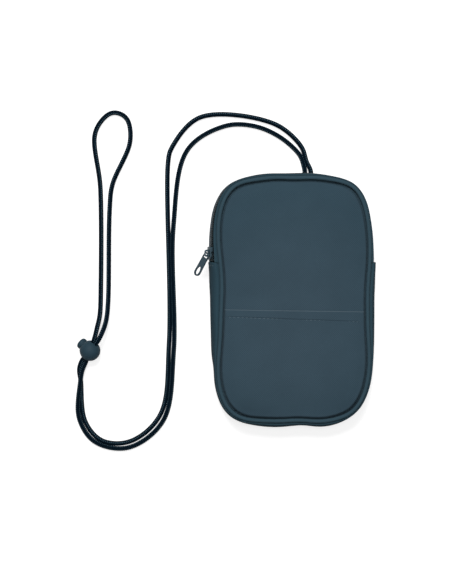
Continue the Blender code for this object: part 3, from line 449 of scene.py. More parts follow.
def surface(name, points, mat, wrap=(False, False), runs=None, capped=False):
    """A mesh over a grid of points. Runs are the UVs down the rows and columns."""
    rows, columns = points.shape[:2]
    here = np.arange(rows * columns).reshape(rows, columns)
    down, right = np.roll(here, -1, 0), np.roll(here, -1, 1)
    corner = np.roll(down, -1, 1)
    last_row, last_column = rows - (not wrap[0]), columns - (not wrap[1])
    quads = np.stack((here, down, corner, right), axis=2)[:last_row, :last_column].reshape(-1, 4)
    flat = points.reshape(-1, 3)
    if turned_in(flat, quads):
        quads = quads[:, ::-1]
    faces = quads.tolist()
    if capped:
        faces += [here[0].tolist(), here[-1].tolist()[::-1]]
    mesh = bpy.data.meshes.new(name)
    mesh.from_pydata(flat.tolist(), [], faces)
    if runs:
        set_uv(mesh, quads, here, runs)
    if mat:
        mesh.materials.append(mat)
    mesh.shade_smooth()
    if capped:
        fix_normals(mesh)
    return add_object(name, mesh)


def tube(name, points, mat, runs=None):
    """A surface closed round its columns, with both ends capped."""
    return surface(name, points, mat, wrap=(False, True), runs=runs, capped=True)


def raised(flat, height):
    """Flat places with their heights."""
    return np.concatenate((flat, height[..., None]), axis=-1)


def unit(vectors):
    return vectors / np.linalg.norm(vectors, axis=-1, keepdims=True)


def sampled(places, run, line):
    """Points of a line at places along its run."""
    return np.column_stack([np.interp(places, run, line[:, axis]) for axis in range(3)])


def in_mm(pairs):
    return [(x * MM, y * MM) for x, y in pairs]


def plain_mesh(obj):
    """The object's mesh with its modifiers and its placement applied."""
    bpy.context.view_layer.update()
    seen = obj.evaluated_get(bpy.context.evaluated_depsgraph_get())
    mesh = bpy.data.meshes.new_from_object(seen)
    mesh.transform(obj.matrix_world)
    return mesh


def add_object(name, mesh):
    obj = bpy.data.objects.new(name, mesh)
    bpy.context.scene.collection.objects.link(obj)
    return obj


def turned_in(points, quads):
    """True where the faces of a closed shape look inwards: its volume is below 0."""
    a, b, c, d = (points[quads[:, k]] for k in range(4))
    volume = np.einsum("ij,ij->i", a, np.cross(b, c)) + np.einsum("ij,ij->i", a, np.cross(c, d))
    return volume.sum() < 0


def set_uv(mesh, quads, here, runs):
    """Each corner's UV from its row and column; a wrapped one takes the far end's."""
    rows, columns = here.shape
    u, v = (np.asarray(run) for run in runs)
    row, column = np.divmod(quads, columns)
    seam_row = np.ptp(row, axis=1, keepdims=True) > 1
    seam_column = np.ptp(column, axis=1, keepdims=True) > 1
    row = np.where(seam_row & (row == 0), rows, row)
    column = np.where(seam_column & (column == 0), columns, column)
    layer = mesh.uv_layers.new(name="UVMap")
    values = np.zeros((len(mesh.loops), 2))
    values[:quads.size] = np.stack((u[row], v[column]), axis=2).reshape(-1, 2)
    layer.data.foreach_set("uv", values.ravel())


def fix_normals(mesh):
    bm = bmesh.new()
    bm.from_mesh(mesh)
    bmesh.ops.recalc_face_normals(bm, faces=bm.faces)
    if bm.calc_volume(signed=True) < 0:
        bmesh.ops.reverse_faces(bm, faces=bm.faces)
    bm.to_mesh(mesh)
    bm.free()


def bake(obj):
    """Applies the modifiers and the placement, so that the piece is plain mesh."""
    mesh = plain_mesh(obj)
    obj.modifiers.clear()
    old = obj.data
    obj.data = mesh
    obj.matrix_world = Matrix()
    bpy.data.meshes.remove(old)
    mesh.name = obj.name
    return obj


def delete(obj):
    bpy.data.objects.remove(obj, do_unlink=True)


def cut(obj, cutter):
    boolean = obj.modifiers.new("cut", "BOOLEAN")
    boolean.operation = "DIFFERENCE"
    boolean.solver = "EXACT"
    boolean.object = cutter
    bake(obj)
    delete(cutter)


def soften(obj, width, segments=3, angle=radians(35)):
    """Rounds the edges that are sharper than the angle."""
    bevel = obj.modifiers.new("rounded", "BEVEL")
    bevel.width = width
    bevel.segments = segments
    bevel.limit_method = "ANGLE"
    bevel.angle_limit = angle
    bake(obj)
    obj.data.shade_smooth()
    obj.data.set_sharp_from_angle(angle=radians(50))


def plate(name, loops, low, thickness, mat):
    """A flat outline, with any holes, made as thick as stated above low."""
    curve = bpy.data.curves.new(name, "CURVE")
    curve.dimensions = "2D"
    curve.fill_mode = "BOTH"
    curve.extrude = thickness / 2
    for loop in loops:
        spline = curve.splines.new("POLY")
        spline.points.add(len(loop) - 1)
        spline.use_cyclic_u = True
        for point, (x, y) in zip(spline.points, loop):
            point.co = (x, y, 0, 1)
    shape = bpy.data.objects.new(name, curve)
    bpy.context.scene.collection.objects.link(shape)
    shape.location.z = low + thickness / 2
    mesh = plain_mesh(shape)
    delete(shape)
    while mesh.uv_layers:  # a filled curve leaves its values unset
        mesh.uv_layers.remove(mesh.uv_layers[0])
    bm = bmesh.new()
    bm.from_mesh(mesh)
    bmesh.ops.remove_doubles(bm, verts=bm.verts, dist=0.01 * MM)
    bmesh.ops.recalc_face_normals(bm, faces=bm.faces)
    bm.to_mesh(mesh)
    bm.free()
    mesh.materials.clear()
    mesh.materials.append(mat)
    return add_object(name, mesh)


def box(name, low, high, mat=None):
    bm = bmesh.new()
    bmesh.ops.create_cube(bm, size=1.0)
    bmesh.ops.scale(bm, vec=Vector(high) - Vector(low), verts=bm.verts)
    bmesh.ops.translate(bm, vec=(Vector(high) + Vector(low)) / 2, verts=bm.verts)
    mesh = bpy.data.meshes.new(name)
    bm.to_mesh(mesh)
    bm.free()
    if mat:
        mesh.materials.append(mat)
    return add_object(name, mesh)


def join(obj, *others):
    """One object from several, all in place."""
    bm = bmesh.new()
    for part in (obj, *others):
        bm.from_mesh(part.data)
    bm.to_mesh(obj.data)
    bm.free()
    for part in others:
        delete(part)
    return obj


def turned(name, profile, mat=None, steps=48):
    """A solid turned about Z from radii and heights, both ends on the axis."""
    turns = np.arange(steps) / steps * 2 * pi
    radius, height = np.array(profile).T
    points = np.stack((radius[:, None] * np.cos(turns), radius[:, None] * np.sin(turns),
                       np.repeat(height[:, None], steps, axis=1)), axis=2)
    obj = surface(name, points, mat, wrap=(False, True))
    bm = bmesh.new()
    bm.from_mesh(obj.data)
    bmesh.ops.remove_doubles(bm, verts=bm.verts, dist=0.001 * MM)
    bmesh.ops.recalc_face_normals(bm, faces=bm.faces)
    bm.to_mesh(obj.data)
    bm.free()
    return obj


def sweep(line, radii, sides):
    """Rings of points round a line; radii has one value a ring, or one a point."""
    ahead = unit(np.gradient(line, axis=0))
    side = np.zeros_like(line)
    seed = np.cross(ahead[0], (0.0, 0.0, 1.0))
    side[0] = seed / np.linalg.norm(seed)
    for i in range(1, len(line)):
        carried = side[i - 1] - ahead[i] * (side[i - 1] @ ahead[i])
        side[i] = carried / np.linalg.norm(carried)
    up = np.cross(ahead, side)
    turns = np.arange(sides) / sides * 2 * pi
    radii = np.reshape(radii, (len(line), -1))
    ring = side[:, None] * np.cos(turns)[:, None] + up[:, None] * np.sin(turns)[:, None]
    return line[:, None] + ring * radii[:, :, None]


def eased(values, count):
    """A moving average down the rows, with the ends held."""
    padded = np.pad(values, ((count // 2, count // 2), (0, 0)), mode="edge")
    total = np.cumsum(np.insert(padded, 0, 0, axis=0), axis=0)
    return (total[count:] - total[:-count]) / count


def run_along(line):
    """The distance of each point from the line's start."""
    return np.concatenate(([0], np.cumsum(np.linalg.norm(np.diff(line, axis=0), axis=1))))


def ripple(u, v, seed, wavelength, count=9):
    """Soft unevenness from -1 to 1: a sum of sines in set directions."""
    random = np.random.default_rng(seed)
    total = np.zeros(np.broadcast(u, v).shape)
    for _ in range(count):
        way = random.uniform(0, 2 * pi)
        length = wavelength * random.uniform(0.7, 1.6)
        phase = random.uniform(0, 2 * pi)
        total += np.sin(2 * pi * (u * cos(way) + v * sin(way)) / length + phase)
    return total / count ** 0.5 / 1.5


def quarter_round(distance, radius):
    """From 1 at an edge down to 0 at a radius from it, along a quarter circle."""
    near = np.clip(1 - distance / radius, 0, 1)
    return 1 - np.sqrt(1 - near ** 2)


def bell(value, width):
    return np.exp(-(value / width) ** 2)


def smooth_step(value):
    share = np.clip(value, 0, 1)
    return share * share * (3 - 2 * share)


# Outlines

def superellipse(angles, half, squareness):
    """Points where |x / a|^n + |y / b|^n is 1, seen from the centre at angles."""
    across, up = np.cos(angles), np.sin(angles)
    reach = (np.abs(across) ** squareness + np.abs(up) ** squareness) ** (-1 / squareness)
    return np.stack((half[0] * reach * across, half[1] * reach * up), axis=-1)


def wavy_outline(angles, half, squareness, waves):
    """A superellipse pushed along its normals by the waves' Fourier series."""
    flat = superellipse(angles, half, squareness)
    slope = np.sign(flat) * np.abs(flat / half) ** (squareness - 1) / half
    slope = unit(slope)
    terms = np.fft.rfft(waves)[:-1] / len(waves)
    terms[1:] *= 2
    turns = np.asarray(angles)[..., None] * np.arange(len(terms))
    push = (np.cos(turns) @ terms.real - np.sin(turns) @ terms.imag) * MM
    return flat + slope * push[..., None]


def body_outline(angles):
    return wavy_outline(angles, BODY_HALF, BODY_SQUARENESS, BODY_WAVES)


def seam_outline(angles, inset=0.0):
    return wavy_outline(angles, SEAM_HALF - inset, SEAM_SQUARENESS, SEAM_WAVES)


def seam_line(angles, height):
    """The bead's line at a height between the seams, where the pouch leans."""
    share = (np.asarray(height) - BACK_SEAM_Z) / SEAM_DEPTH
    flat = seam_outline(angles) + LEAN * share[..., None]
    return np.concatenate((flat, np.broadcast_to(height, flat.shape[:-1])[..., None]), axis=-1)


def seam_normals(angles):
    step = radians(0.5)
    along = seam_outline(angles + step) - seam_outline(angles - step)
    return unit(np.stack((along[..., 1], -along[..., 0]), axis=-1))


def wall(angles, turns, depths):
    """Points on the gusset at each angle, for profiles of turn and depth.

    The outer face is an ellipse from the front seam, turn 0, to the back seam, pi.
    Turns and depths are one profile, or one for each angle.
    """
    turns, depths = np.atleast_2d(turns), np.atleast_2d(depths)
    normals = seam_normals(angles)
    middle = seam_line(angles, np.full(len(angles), MIDDLE_Z))[:, :2]
    bulge = body_outline(angles) - middle - normals * GUSSET_STANDOFF
    half = SEAM_DEPTH / 2 - GUSSET_DROP - depths
    heights = np.broadcast_to(MIDDLE_Z + half * np.cos(turns), (len(angles), turns.shape[1]))
    points = seam_line(np.broadcast_to(angles[:, None], heights.shape), heights)
    inward = np.broadcast_to(GUSSET_STANDOFF - depths, heights.shape)
    points[..., :2] += normals[:, None] * inward[..., None]
    points[..., :2] += bulge[:, None] * np.broadcast_to(np.sin(turns), heights.shape)[..., None]
    return points


def wall_turn(height, depth=0.0):
    half = SEAM_DEPTH / 2 - GUSSET_DROP - depth
    return float(np.arccos((height - MIDDLE_Z) / half))


def fold_turns(depth=0.0):
    """Turns of the zip's two folded edges."""
    middle = ZIP_CENTRE_Z - depth * FOLD_LEAN
    half = ZIP_OPENING / 2
    return wall_turn(middle + half, depth), wall_turn(middle - half, depth)


def angle_at(height):
    up = height / BODY_HALF[1]
    across = (1 - abs(up) ** BODY_SQUARENESS) ** (1 / BODY_SQUARENESS)
    return float(np.arctan2(up, across))


def even_angles(first, last, step):
    """Angles about one step apart along the body's outline."""
    dense = np.linspace(first, last, 6001)
    run = run_along(body_outline(dense))
    count = int(round(run[-1] / step)) + 1
    places = np.linspace(0, run[-1], count)
    return np.interp(places, run, dense), places


def whole_ring(step):
    angles, run = even_angles(0, 2 * pi, step)
    return angles[:-1], run


def distance_to(rim, flat):
    """How far flat points are from a closed rim of points."""
    start, step = rim, np.roll(rim, -1, axis=0) - rim
    length = (step ** 2).sum(axis=1)
    points = flat.reshape(-1, 2)
    least = np.full(len(points), np.inf)
    for chunk in np.array_split(np.arange(len(points)), max(len(points) // 2000, 1)):
        gap = points[chunk][:, None] - start
        share = np.clip((gap * step).sum(axis=2) / length, 0, 1)
        away = gap - step * share[..., None]
        least[chunk] = np.sqrt((away ** 2).sum(axis=2).min(axis=1))
    return least.reshape(flat.shape[:-1])


# Cloth simulation

def envelope():
    """A coarse closed cover of the pouch, with the places of its points that are held."""
    angles, _ = whole_ring(SIM_STEP)
    rim = seam_outline(angles, EDGE_INSET)
    shares = np.linspace(0.04, 1, SIM_ROWS)[:, None, None]
    back = np.concatenate((rim * shares, np.full((SIM_ROWS, len(angles), 1), 0.6 * MM)), axis=2)
    flat = rim * shares + LEAN
    rise = FRONT_EDGE_Z + crown(distance_to(rim + LEAN, flat))
    front = raised(flat, rise)[::-1]
    turns = np.linspace(pi - 0.25, 0.25, SIM_WALL_ROWS)
    side = wall(angles, turns, np.zeros(1)).transpose(1, 0, 2)
    seams = [seam_line(angles, np.full(len(angles), height))[None] for height in (BACK_SEAM_Z, FRONT_SEAM_Z)]
    points = np.concatenate((back, seams[0], side, seams[1], front))
    row = np.arange(len(points))[:, None]
    zipped = (angles > angle_at(ZIP_END_Y)) & (angles < pi - angle_at(ZIP_END_Y))
    seam_rows = (row == SIM_ROWS) | (row == SIM_ROWS + SIM_WALL_ROWS + 1)
    held = (row < SIM_ROWS) | seam_rows | (zipped & (row <= SIM_ROWS + SIM_WALL_ROWS + 1))
    return points, held


def press_out():
    """Places on the pouch's cover, and how far its cloth moves there when pressed out.

    The envelope is held at its seams, its zip and its back, and blown up from
    inside, so that the cloth between them swells and puckers as sewn cloth does.
    """
    points, held = envelope()
    cover = tube("envelope", points, None)
    cover.vertex_groups.new(name="held").add(np.flatnonzero(held).tolist(), 1.0, "REPLACE")
    cloth = cover.modifiers.new("cloth", "CLOTH")
    cloth.settings.vertex_group_mass = "held"
    cloth.settings.quality = 8
    cloth.settings.tension_stiffness = cloth.settings.compression_stiffness = 40
    cloth.settings.bending_stiffness = 0.05
    cloth.settings.shrink_min = -SIM_SLACK
    cloth.settings.use_pressure = True
    cloth.settings.uniform_pressure_force = SIM_PRESSURE
    cloth.settings.effector_weights.gravity = 0
    cloth.collision_settings.use_collision = False
    cloth.point_cache.frame_end = SIM_FRAMES
    for frame_number in range(1, SIM_FRAMES + 1):
        bpy.context.scene.frame_set(frame_number)
    seen = cover.evaluated_get(bpy.context.evaluated_depsgraph_get())
    moved = np.empty(points.size)
    seen.data.vertices.foreach_get("co", moved)
    delete(cover)
    bpy.context.scene.frame_set(1)
    start = points.reshape(-1, 3)
    moves = moved.reshape(-1, 3) - start
    size = np.linalg.norm(moves, axis=1, keepdims=True)
    return start, moves * SIM_CAP * np.tanh(size / SIM_CAP) / np.maximum(size, 1e-9)


def drape(points):
    """The cloth's moves at points: means of those of its places, weighted by a bell."""
    flat = points.reshape(-1, 3)
    out = np.empty_like(flat)
    for chunk in np.array_split(np.arange(len(flat)), max(len(flat) // 1000, 1)):
        gap = ((flat[chunk][:, None] - cloth_places) ** 2).sum(axis=2)
        weights = np.exp(-gap / SIM_STEP ** 2) + 1e-30
        out[chunk] = weights @ cloth_moves / weights.sum(axis=1, keepdims=True)
    return out.reshape(points.shape)


# Pouch

def crown(from_edge):
    """The padding's rise over its edge, flat in the middle."""
    return CROWN * (1 - np.clip(1 - from_edge / CROWN_REACH, 0, 1) ** 4)


def front_height(flat, from_edge):
    """The front cover's outer face, a little uneven over its foam."""
    uneven = ripple(flat[..., 0], flat[..., 1], 3, 45 * MM) * 0.1 * MM * smooth_step(from_edge / (14 * MM))
    pull = 0.09 * MM * ripple(flat[..., 0], flat[..., 1], 4, 11 * MM) * bell(from_edge - 3 * MM, 3 * MM)
    base = FRONT_EDGE_Z + crown(from_edge)
    swell = drape(raised(flat, base))[..., 2] * smooth_step(from_edge / SWELL_FADE)
    return base + swell + uneven + pull


def panel_sheet(name, mat, outer, thickness, inset, lean, edges, lip):
    """A padded panel's layer as rings from its edge to its middle and back.

    Outer gives the outer face's height for flat places and their distances from
    the edge; the inner face lies one thickness under it. With a lip, the layer
    runs on under the bead as a thin seam allowance.
    """
    angles, _ = whole_ring(PANEL_STEP)
    shift = LEAN * lean
    rim = seam_outline(angles, inset) + shift
    normals = seam_normals(angles)
    at_top = smooth_step(normals[:, 1:] * 2.5 - 1.5)
    if lip:
        rim = rim - normals * TOP_INSET * at_top
    rings = [rim - normals * edge for edge in edges]
    if lip:
        rings.insert(0, rings[0] + normals * (EDGE_LIP + TOP_INSET * at_top))
    inner = rings[-1]
    shares = np.sin(np.linspace(0, 0.985, PANEL_ROWS)[1:] * pi / 2)
    rings += [inner + (shift - inner) * share for share in shares]
    flat = np.stack(rings)
    from_edge = distance_to(rim, flat)
    if lip:
        from_edge[0] = 0
        thickness = LIP_THICKNESS + (thickness - LIP_THICKNESS) * smooth_step(from_edge / EDGE_ROLL_WIDTH)
    top = raised(flat, outer(flat, from_edge))
    under = top.copy()
    under[..., 2] -= thickness
    under = under[::-1]
    return surface(name, np.concatenate((top, under))[::-1], mat, wrap=(True, True))


def settle(piece, node, body="pouch"):
    """Hides the piece's node and puts the piece in its body."""
    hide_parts(node)
    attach(piece, body)


def make_panels(mats):
    """Cloth over foam, with a rounded edge that dips into the groove by the bead."""
    def front(flat, from_edge):
        return front_height(flat, from_edge) - EDGE_ROLL * quarter_round(from_edge, EDGE_ROLL_WIDTH)

    def back(flat, from_edge):
        return 1.2 * MM + 2.5 * MM * quarter_round(from_edge, 1.3 * MM)

    def level(edge, rise):
        return lambda flat, from_edge: edge + crown(from_edge) * rise

    def layer(name, node, slot, outer, thickness, lean):
        covers = slot == "cloth"
        inset, edges = (EDGE_INSET, EDGE_STEPS) if covers else (UNDER_INSET, EDGE_STEPS[::4])
        piece = panel_sheet(name, mats[slot], outer, thickness, inset, lean, edges=edges, lip=covers)
        settle(piece, node)
        return piece

    cover = layer("front_cover", "front_panel", "cloth", front, COVER_THICKNESS, 1.0)
    layer("front_foam_pad", "front_foam", "foam", level(20.9 * MM, 1.0), FOAM_THICKNESS, 1.0)
    layer("front_lining_cloth", "front_lining", "lining", level(18.6 * MM, 1.0), LINING_THICKNESS, 1.0)
    back_cover = layer("back_cover", "back_panel", "cloth", back, BACK_COVER_THICKNESS, 0.0)
    layer("back_foam_pad", "back_foam", "foam", level(3.5 * MM, 0), FOAM_THICKNESS, 0.0)
    layer("back_lining_cloth", "back_lining", "lining", level(4.3 * MM, 0), LINING_THICKNESS, 0.0)


def mouth_y(x):
    """The pocket's mouth, which slopes a little down to the right."""
    return MOUTH_Y - x * MOUTH_SLOPE


def hem_depth(x):
    """How far under the mouth its hem is sewn down."""
    return HEM_DEPTH + x * HEM_SLOPE


def pocket_rays():
    """Flat points of the pocket: a row from its mouth to each place on its rim.

    The rays start evenly spaced along the mouth and end evenly spaced on the rim.
    """
    around = np.linspace(pi, 2 * pi, 4001)
    edge = seam_outline(around, EDGE_INSET) + LEAN
    inside = edge[:, 1] < mouth_y(edge[:, 0]) - 0.25 * MM
    around, edge = around[inside], edge[inside]
    run = run_along(edge)
    places = np.linspace(0, run[-1], int(run[-1] / (0.9 * MM)))
    angles = np.interp(places, run, around)
    rim = seam_outline(angles, EDGE_INSET) + LEAN
    mouth_x = rim[0, 0] + (rim[-1, 0] - rim[0, 0]) * places / places[-1]
    mouth = np.column_stack((mouth_x, mouth_y(mouth_x)))
    drop = mouth[:, 1] - rim[:, 1]
    way = (mouth - rim) / drop[:, None]
    steep = 1 / np.clip((way * -seam_normals(angles)).sum(axis=1), 0.3, 3)
    hem_steps = (0, 0.05, 0.12, 0.22, 0.35, 0.55, 0.8, 1.2, 1.8, 2.6, 3.6)
    from_mouth = np.concatenate((hem_steps, np.arange(4.4, 8.4, 0.25))) * MM
    from_rim = EDGE_STEPS[::-1]
    scale = np.clip(drop / (from_mouth[-1] + steep * from_rim[0] + 2 * MM), 0, 1)[:, None]
    upper = from_mouth * scale
    lower = drop[:, None] - from_rim * steep[:, None] * scale
    gap = np.linspace(0, 1, 22)[1:-1]
    middle = upper[:, -1:] + (lower[:, :1] - upper[:, -1:]) * gap
    down = np.concatenate((upper, middle, lower), axis=1)
    return mouth[:, None] - way[:, None] * down[..., None]


def make_pocket(mats):
    """The slip pocket: two layers at its hem, sewn down, and slack at its mouth."""
    flat = pocket_rays()
    ring, _ = whole_ring(1.2 * MM)
    from_edge = distance_to(seam_outline(ring, EDGE_INSET) + LEAN, flat)
    x = flat[..., 0]
    from_mouth = np.maximum(mouth_y(x) - flat[..., 1], 0)
    centred = np.clip(1 - (np.abs(x - LEAN[0]) / (50 * MM)) ** 6, 0, 1)
    loose = (0.12 + 0.3 * smooth_step((x + 25 * MM) / (60 * MM))) * MM
    slack = loose * bell(from_mouth, 9 * MM) * centred
    slack += 0.1 * MM * ripple(x, 0.0, 17, 21 * MM) * bell(from_mouth, 7 * MM) * centred
    hem = 0.35 * MM * smooth_step((hem_depth(x) - from_mouth) / (0.7 * MM))
    deep = np.interp(x, (-20 * MM, 20 * MM), (0.15, 0.05)) * MM
    seam = deep * bell(from_mouth - hem_depth(x), 0.4 * MM) * centred
    uneven = ripple(x, flat[..., 1], 8, 36 * MM) * 0.14 * MM * smooth_step(from_edge / (9 * MM))
    height = front_height(flat, from_edge) + 0.05 * MM + POCKET_THICKNESS + slack + hem - seam + uneven
    roll = (EDGE_ROLL + 0.5 * MM) * quarter_round(from_edge, EDGE_ROLL_WIDTH + 0.2 * MM)
    thickness = POCKET_THICKNESS + hem * 0.8
    lip = quarter_round(from_mouth, 0.5 * MM) * 0.5
    top = raised(flat, height - roll - lip * thickness)
    under = raised(flat, height - roll - (1 - lip) * thickness)
    points = np.concatenate((top[:, ::-1], under), axis=1)
    obj = surface("slip_pocket", points, mats["pocket"], wrap=(False, True))
    settle(obj, "front_pocket")
    x = np.linspace(-47 * MM, 48 * MM, 400)
    y = mouth_y(x) - hem_depth(x)
    line = np.column_stack((x, y))
    edge_gap = distance_to(seam_outline(ring, EDGE_INSET) + LEAN, line)
    height = front_height(line, edge_gap) + POCKET_THICKNESS - 0.03 * MM
    return np.column_stack((line, height)), np.tile((0.0, 0.0, 1.0), (len(x), 1))


def make_beads(mats):
    """Piping: cloth round a filler cord, drawn tight and loose by its stitches."""
    sides = 24
    around = np.arange(sides + 1) / sides * 2 * pi * BEAD_RADIUS
    for name, node, height in (("front_bead", "front_piping", FRONT_SEAM_Z),
                               ("back_bead", "back_piping", BACK_SEAM_Z)):
        angles, run = whole_ring(1.0 * MM)
        line = seam_line(angles, np.full(len(angles), height))
        pull = 1 + 0.03 * ripple(run[:-1], 0.0, 5, 14 * MM)
        closed = np.vstack((line[-1:], line, line[:1]))
        points = sweep(closed, np.full(len(closed), BEAD_RADIUS), sides)[1:-1]
        points = line[:, None] + (points - line[:, None]) * pull[:, None, None]
        obj = surface(name, points, mats["piping"], wrap=(True, True), runs=(run, around))
        settle(obj, node)


def seam_tuck(angles, turns, width=0.08, ends=0.25):
    """Depth by which cloth rolls in under the bead, more at the long sides than at the ends."""
    near = np.minimum(turns, pi - turns)
    sideways = np.abs(seam_normals(angles)[:, :1])
    return (ends + (1.6 - ends) * sideways) * MM * np.exp(-(near / width) ** 1.5)


def lower_surface(angles, run, turns):
    """The lower gusset's outer depths: swollen at its laps, puckered at the corners."""
    from_end = np.minimum(run, run[-1] - run)
    swell = 0.8 * MM * np.exp(-(from_end / (13 * MM)) ** 1.4)
    rounding = GUSSET_THICKNESS / 2 * quarter_round(from_end, 0.7 * MM)
    heading = np.unwrap(np.arctan2(*seam_normals(angles).T[::-1]))
    bend = np.clip(np.abs(np.gradient(heading, run)) * 25 * MM, 0, 1)
    pucker = 0.2 * MM * ripple(run[:, None], 0.0, 11, 9 * MM) * bend[:, None]
    fade = bell(np.minimum(turns, pi - turns), 0.55)
    bulge = np.sqrt(np.clip(np.sin(turns), 0, 1))
    uneven = 0.16 * MM * ripple(run[:, None], turns * 9 * MM, 12, 34 * MM) * bulge
    seam = 0.16 * MM * bell(from_end - LAP_SEAM, 0.45 * MM)[:, None]
    middle = wall(angles, turns, np.zeros(1))
    outward = (drape(middle)[..., :2] * seam_normals(angles)[:, None]).sum(axis=2)
    uneven = uneven + (outward - eased(outward, 31)) * np.sin(turns)
    outer = seam_tuck(angles, turns) - swell[:, None] + rounding[:, None]
    outer = outer + pucker * fade - uneven + seam
    return outer, swell, rounding


def make_lower_gusset(mats):
    """The plain gusset, lapped over the zip's ends and sewn down there."""
    end = angle_at(ZIP_END_Y)
    angles, run = even_angles(pi - end, 2 * pi + end, 1.1 * MM)
    extra = np.array((0.15, 0.3, 0.5, 0.7)) * MM
    places = np.concatenate(([0], extra, run[1:-1], run[-1] - extra[::-1], [run[-1]]))
    angles, run = np.interp(places, run, angles), places
    turns = np.concatenate((np.linspace(0, 0.4, 14)[:-1], np.linspace(0.4, pi - 0.4, 28),
                            np.linspace(pi - 0.4, pi, 14)[1:]))
    outer, swell, rounding = lower_surface(angles, run, turns)
    inner = np.full_like(outer, GUSSET_THICKNESS) - (swell + rounding)[:, None]
    both_turns = np.concatenate((turns, turns[::-1]))
    points = wall(angles, both_turns, np.concatenate((outer, inner[:, ::-1]), axis=1))
    across = np.concatenate((turns, 2 * pi - turns[::-1], [2 * pi])) * TURN_WEAVE * MM
    obj = tube("lower_gusset", points, mats["gusset"], (run, across))
    settle(obj, "bottom_gusset")
    depth = GUSSET_THICKNESS + 0.3 * MM
    depths = np.concatenate((np.full(len(turns), depth), np.full(len(turns), depth + 0.5 * MM)))
    points = wall(angles[::3], both_turns, depths - swell[::3, None])
    lining = tube("gusset_lining_cloth", points, mats["lining"], (run[::3], across))
    settle(lining, "gusset_lining")
    rows = []
    for from_end in (LAP_SEAM, run[-1] - LAP_SEAM):
        angle = np.interp(from_end, run, angles)
        here = np.argmin(np.abs(run - from_end))
        dense = np.linspace(0.24, pi - 0.24, 200)
        depth = np.interp(dense, turns, outer[here])
        line = wall(np.array([angle]), dense, depth)[0]
        below = wall(np.array([angle]), dense, depth + 1 * MM)[0]
        rows.append((line, line - below))
    return rows


def strip_profile(seam_turn, fold_turn, fold_inner):
    """Turns and depths of a strip with a ridge and a rounded fold along the zip."""
    reach = fold_turn - seam_turn
    shares = np.concatenate((np.linspace(0, 0.25, 12)[:-1], np.linspace(0.25, 0.7, 12)[:-1],
                             np.linspace(0.7, 1, 16)))
    turns = seam_turn + reach * shares
    from_fold = np.abs(turns - fold_turn) * TURN_RUN
    depth = 0.45 * MM * quarter_round(from_fold, 0.6 * MM)
    depth -= 0.25 * MM * bell(from_fold - 2.9 * MM, 0.7 * MM)
    depth += 0.15 * MM * bell(from_fold - 1.9 * MM, 0.3 * MM)
    back_turns = (seam_turn + (fold_inner - seam_turn) * shares)[::-1]
    from_inner = np.abs(back_turns - fold_inner) * TURN_RUN
    back_depth = GUSSET_THICKNESS - 0.45 * MM * quarter_round(from_inner, 0.6 * MM)
    return np.concatenate((turns, back_turns)), np.concatenate((depth, back_depth))


def make_zip_strips(mats):
    """Narrow strips of gusset cloth, folded and sewn down along the zip."""
    end = angle_at(ZIP_END_Y)
    angles, run = even_angles(end, pi - end, 1.1 * MM)
    front_out, back_out = fold_turns()
    front_in, back_in = fold_turns(GUSSET_THICKNESS)
    rows = []
    for name, node, seam, fold_out, fold_in, roll, seed in (
            ("zip_strip_front", "zip_gusset_front", 0.0, front_out, front_in, 1.1 * MM, 21),
            ("zip_strip_back", "zip_gusset_back", pi, back_out, back_in, 0.5 * MM, 22)):
        turns, depths = strip_profile(seam, fold_out, fold_in)
        outer = np.arange(len(turns)) < len(turns) // 2
        uneven = 0.08 * MM * ripple(run[:, None], turns * 9 * MM, seed, 16 * MM)
        from_fold = np.abs(turns - np.where(outer, fold_out, fold_in)) * TURN_RUN
        shown = 1 - 0.9 * smooth_step(seam_normals(angles)[:, :1] * 2 - 0.4)
        rolled = roll * shown * (1 - smooth_step(from_fold / (2.8 * MM)))
        depths = depths + uneven + rolled + seam_tuck(angles, turns, 0.16, 1.2) * outer
        points = wall(angles, turns, depths)
        across = np.append(turns, turns[0]) * TURN_WEAVE * MM
        obj = tube(name, points, mats["gusset"], (run, across))
        settle(obj, node)
        sewn = fold_out - np.sign(fold_out - seam) * 1.9 / 7.5
        column = np.argmin(np.abs(turns[:len(turns) // 2] - sewn))
        below = wall(angles, turns[column:column + 1], depths[:, column:column + 1] + 1 * MM)[:, 0]
        rows.append((points[:, column], points[:, column] - below))
    return rows


def make_stitches(mats, rows):
    """Sewn stitches: short threads that arch out of the cloth and dive back."""
    rise = np.sin(np.linspace(0, pi, 7)) ** 0.6
    turns = np.arange(6) / 6 * 2 * pi
    points, faces = [], []
    for line, normals in rows:
        normals = unit(normals)
        run = run_along(line)
        for start in np.arange(STITCH_PITCH / 2, run[-1] - STITCH_LENGTH, STITCH_PITCH):
            places = start + np.linspace(0, STITCH_LENGTH, 7)
            centre, out = sampled(places, run, line), sampled(places, run, normals)
            ahead = np.gradient(centre, axis=0)
            side = unit(np.cross(out, ahead))
            middle = centre + out * (STITCH_RISE * rise - STITCH_SINK)[:, None]
            slim = STITCH_RADIUS * np.array((0.5, 0.9, 1, 1, 1, 0.9, 0.5))[:, None, None]
            ring = side[:, None] * np.cos(turns)[:, None] + out[:, None] * np.sin(turns)[:, None]
            rings = middle[:, None] + slim * ring
            base = len(points) * 42
            here = np.arange(42).reshape(7, 6) + base
            beside = np.roll(here, -1, axis=1)
            faces += np.stack((here[:-1], beside[:-1], beside[1:], here[1:]), axis=2).reshape(-1, 4).tolist()
            faces += [here[0, ::-1].tolist(), here[-1].tolist()]
            points.append(rings.reshape(-1, 3))
    mesh = bpy.data.meshes.new("seam_stitches")
    mesh.from_pydata(np.concatenate(points).tolist(), [], faces)
    mesh.materials.append(mats["thread"])
    mesh.shade_smooth()
    obj = add_object("seam_stitches", mesh)
    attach(obj, "pouch")


# Zip

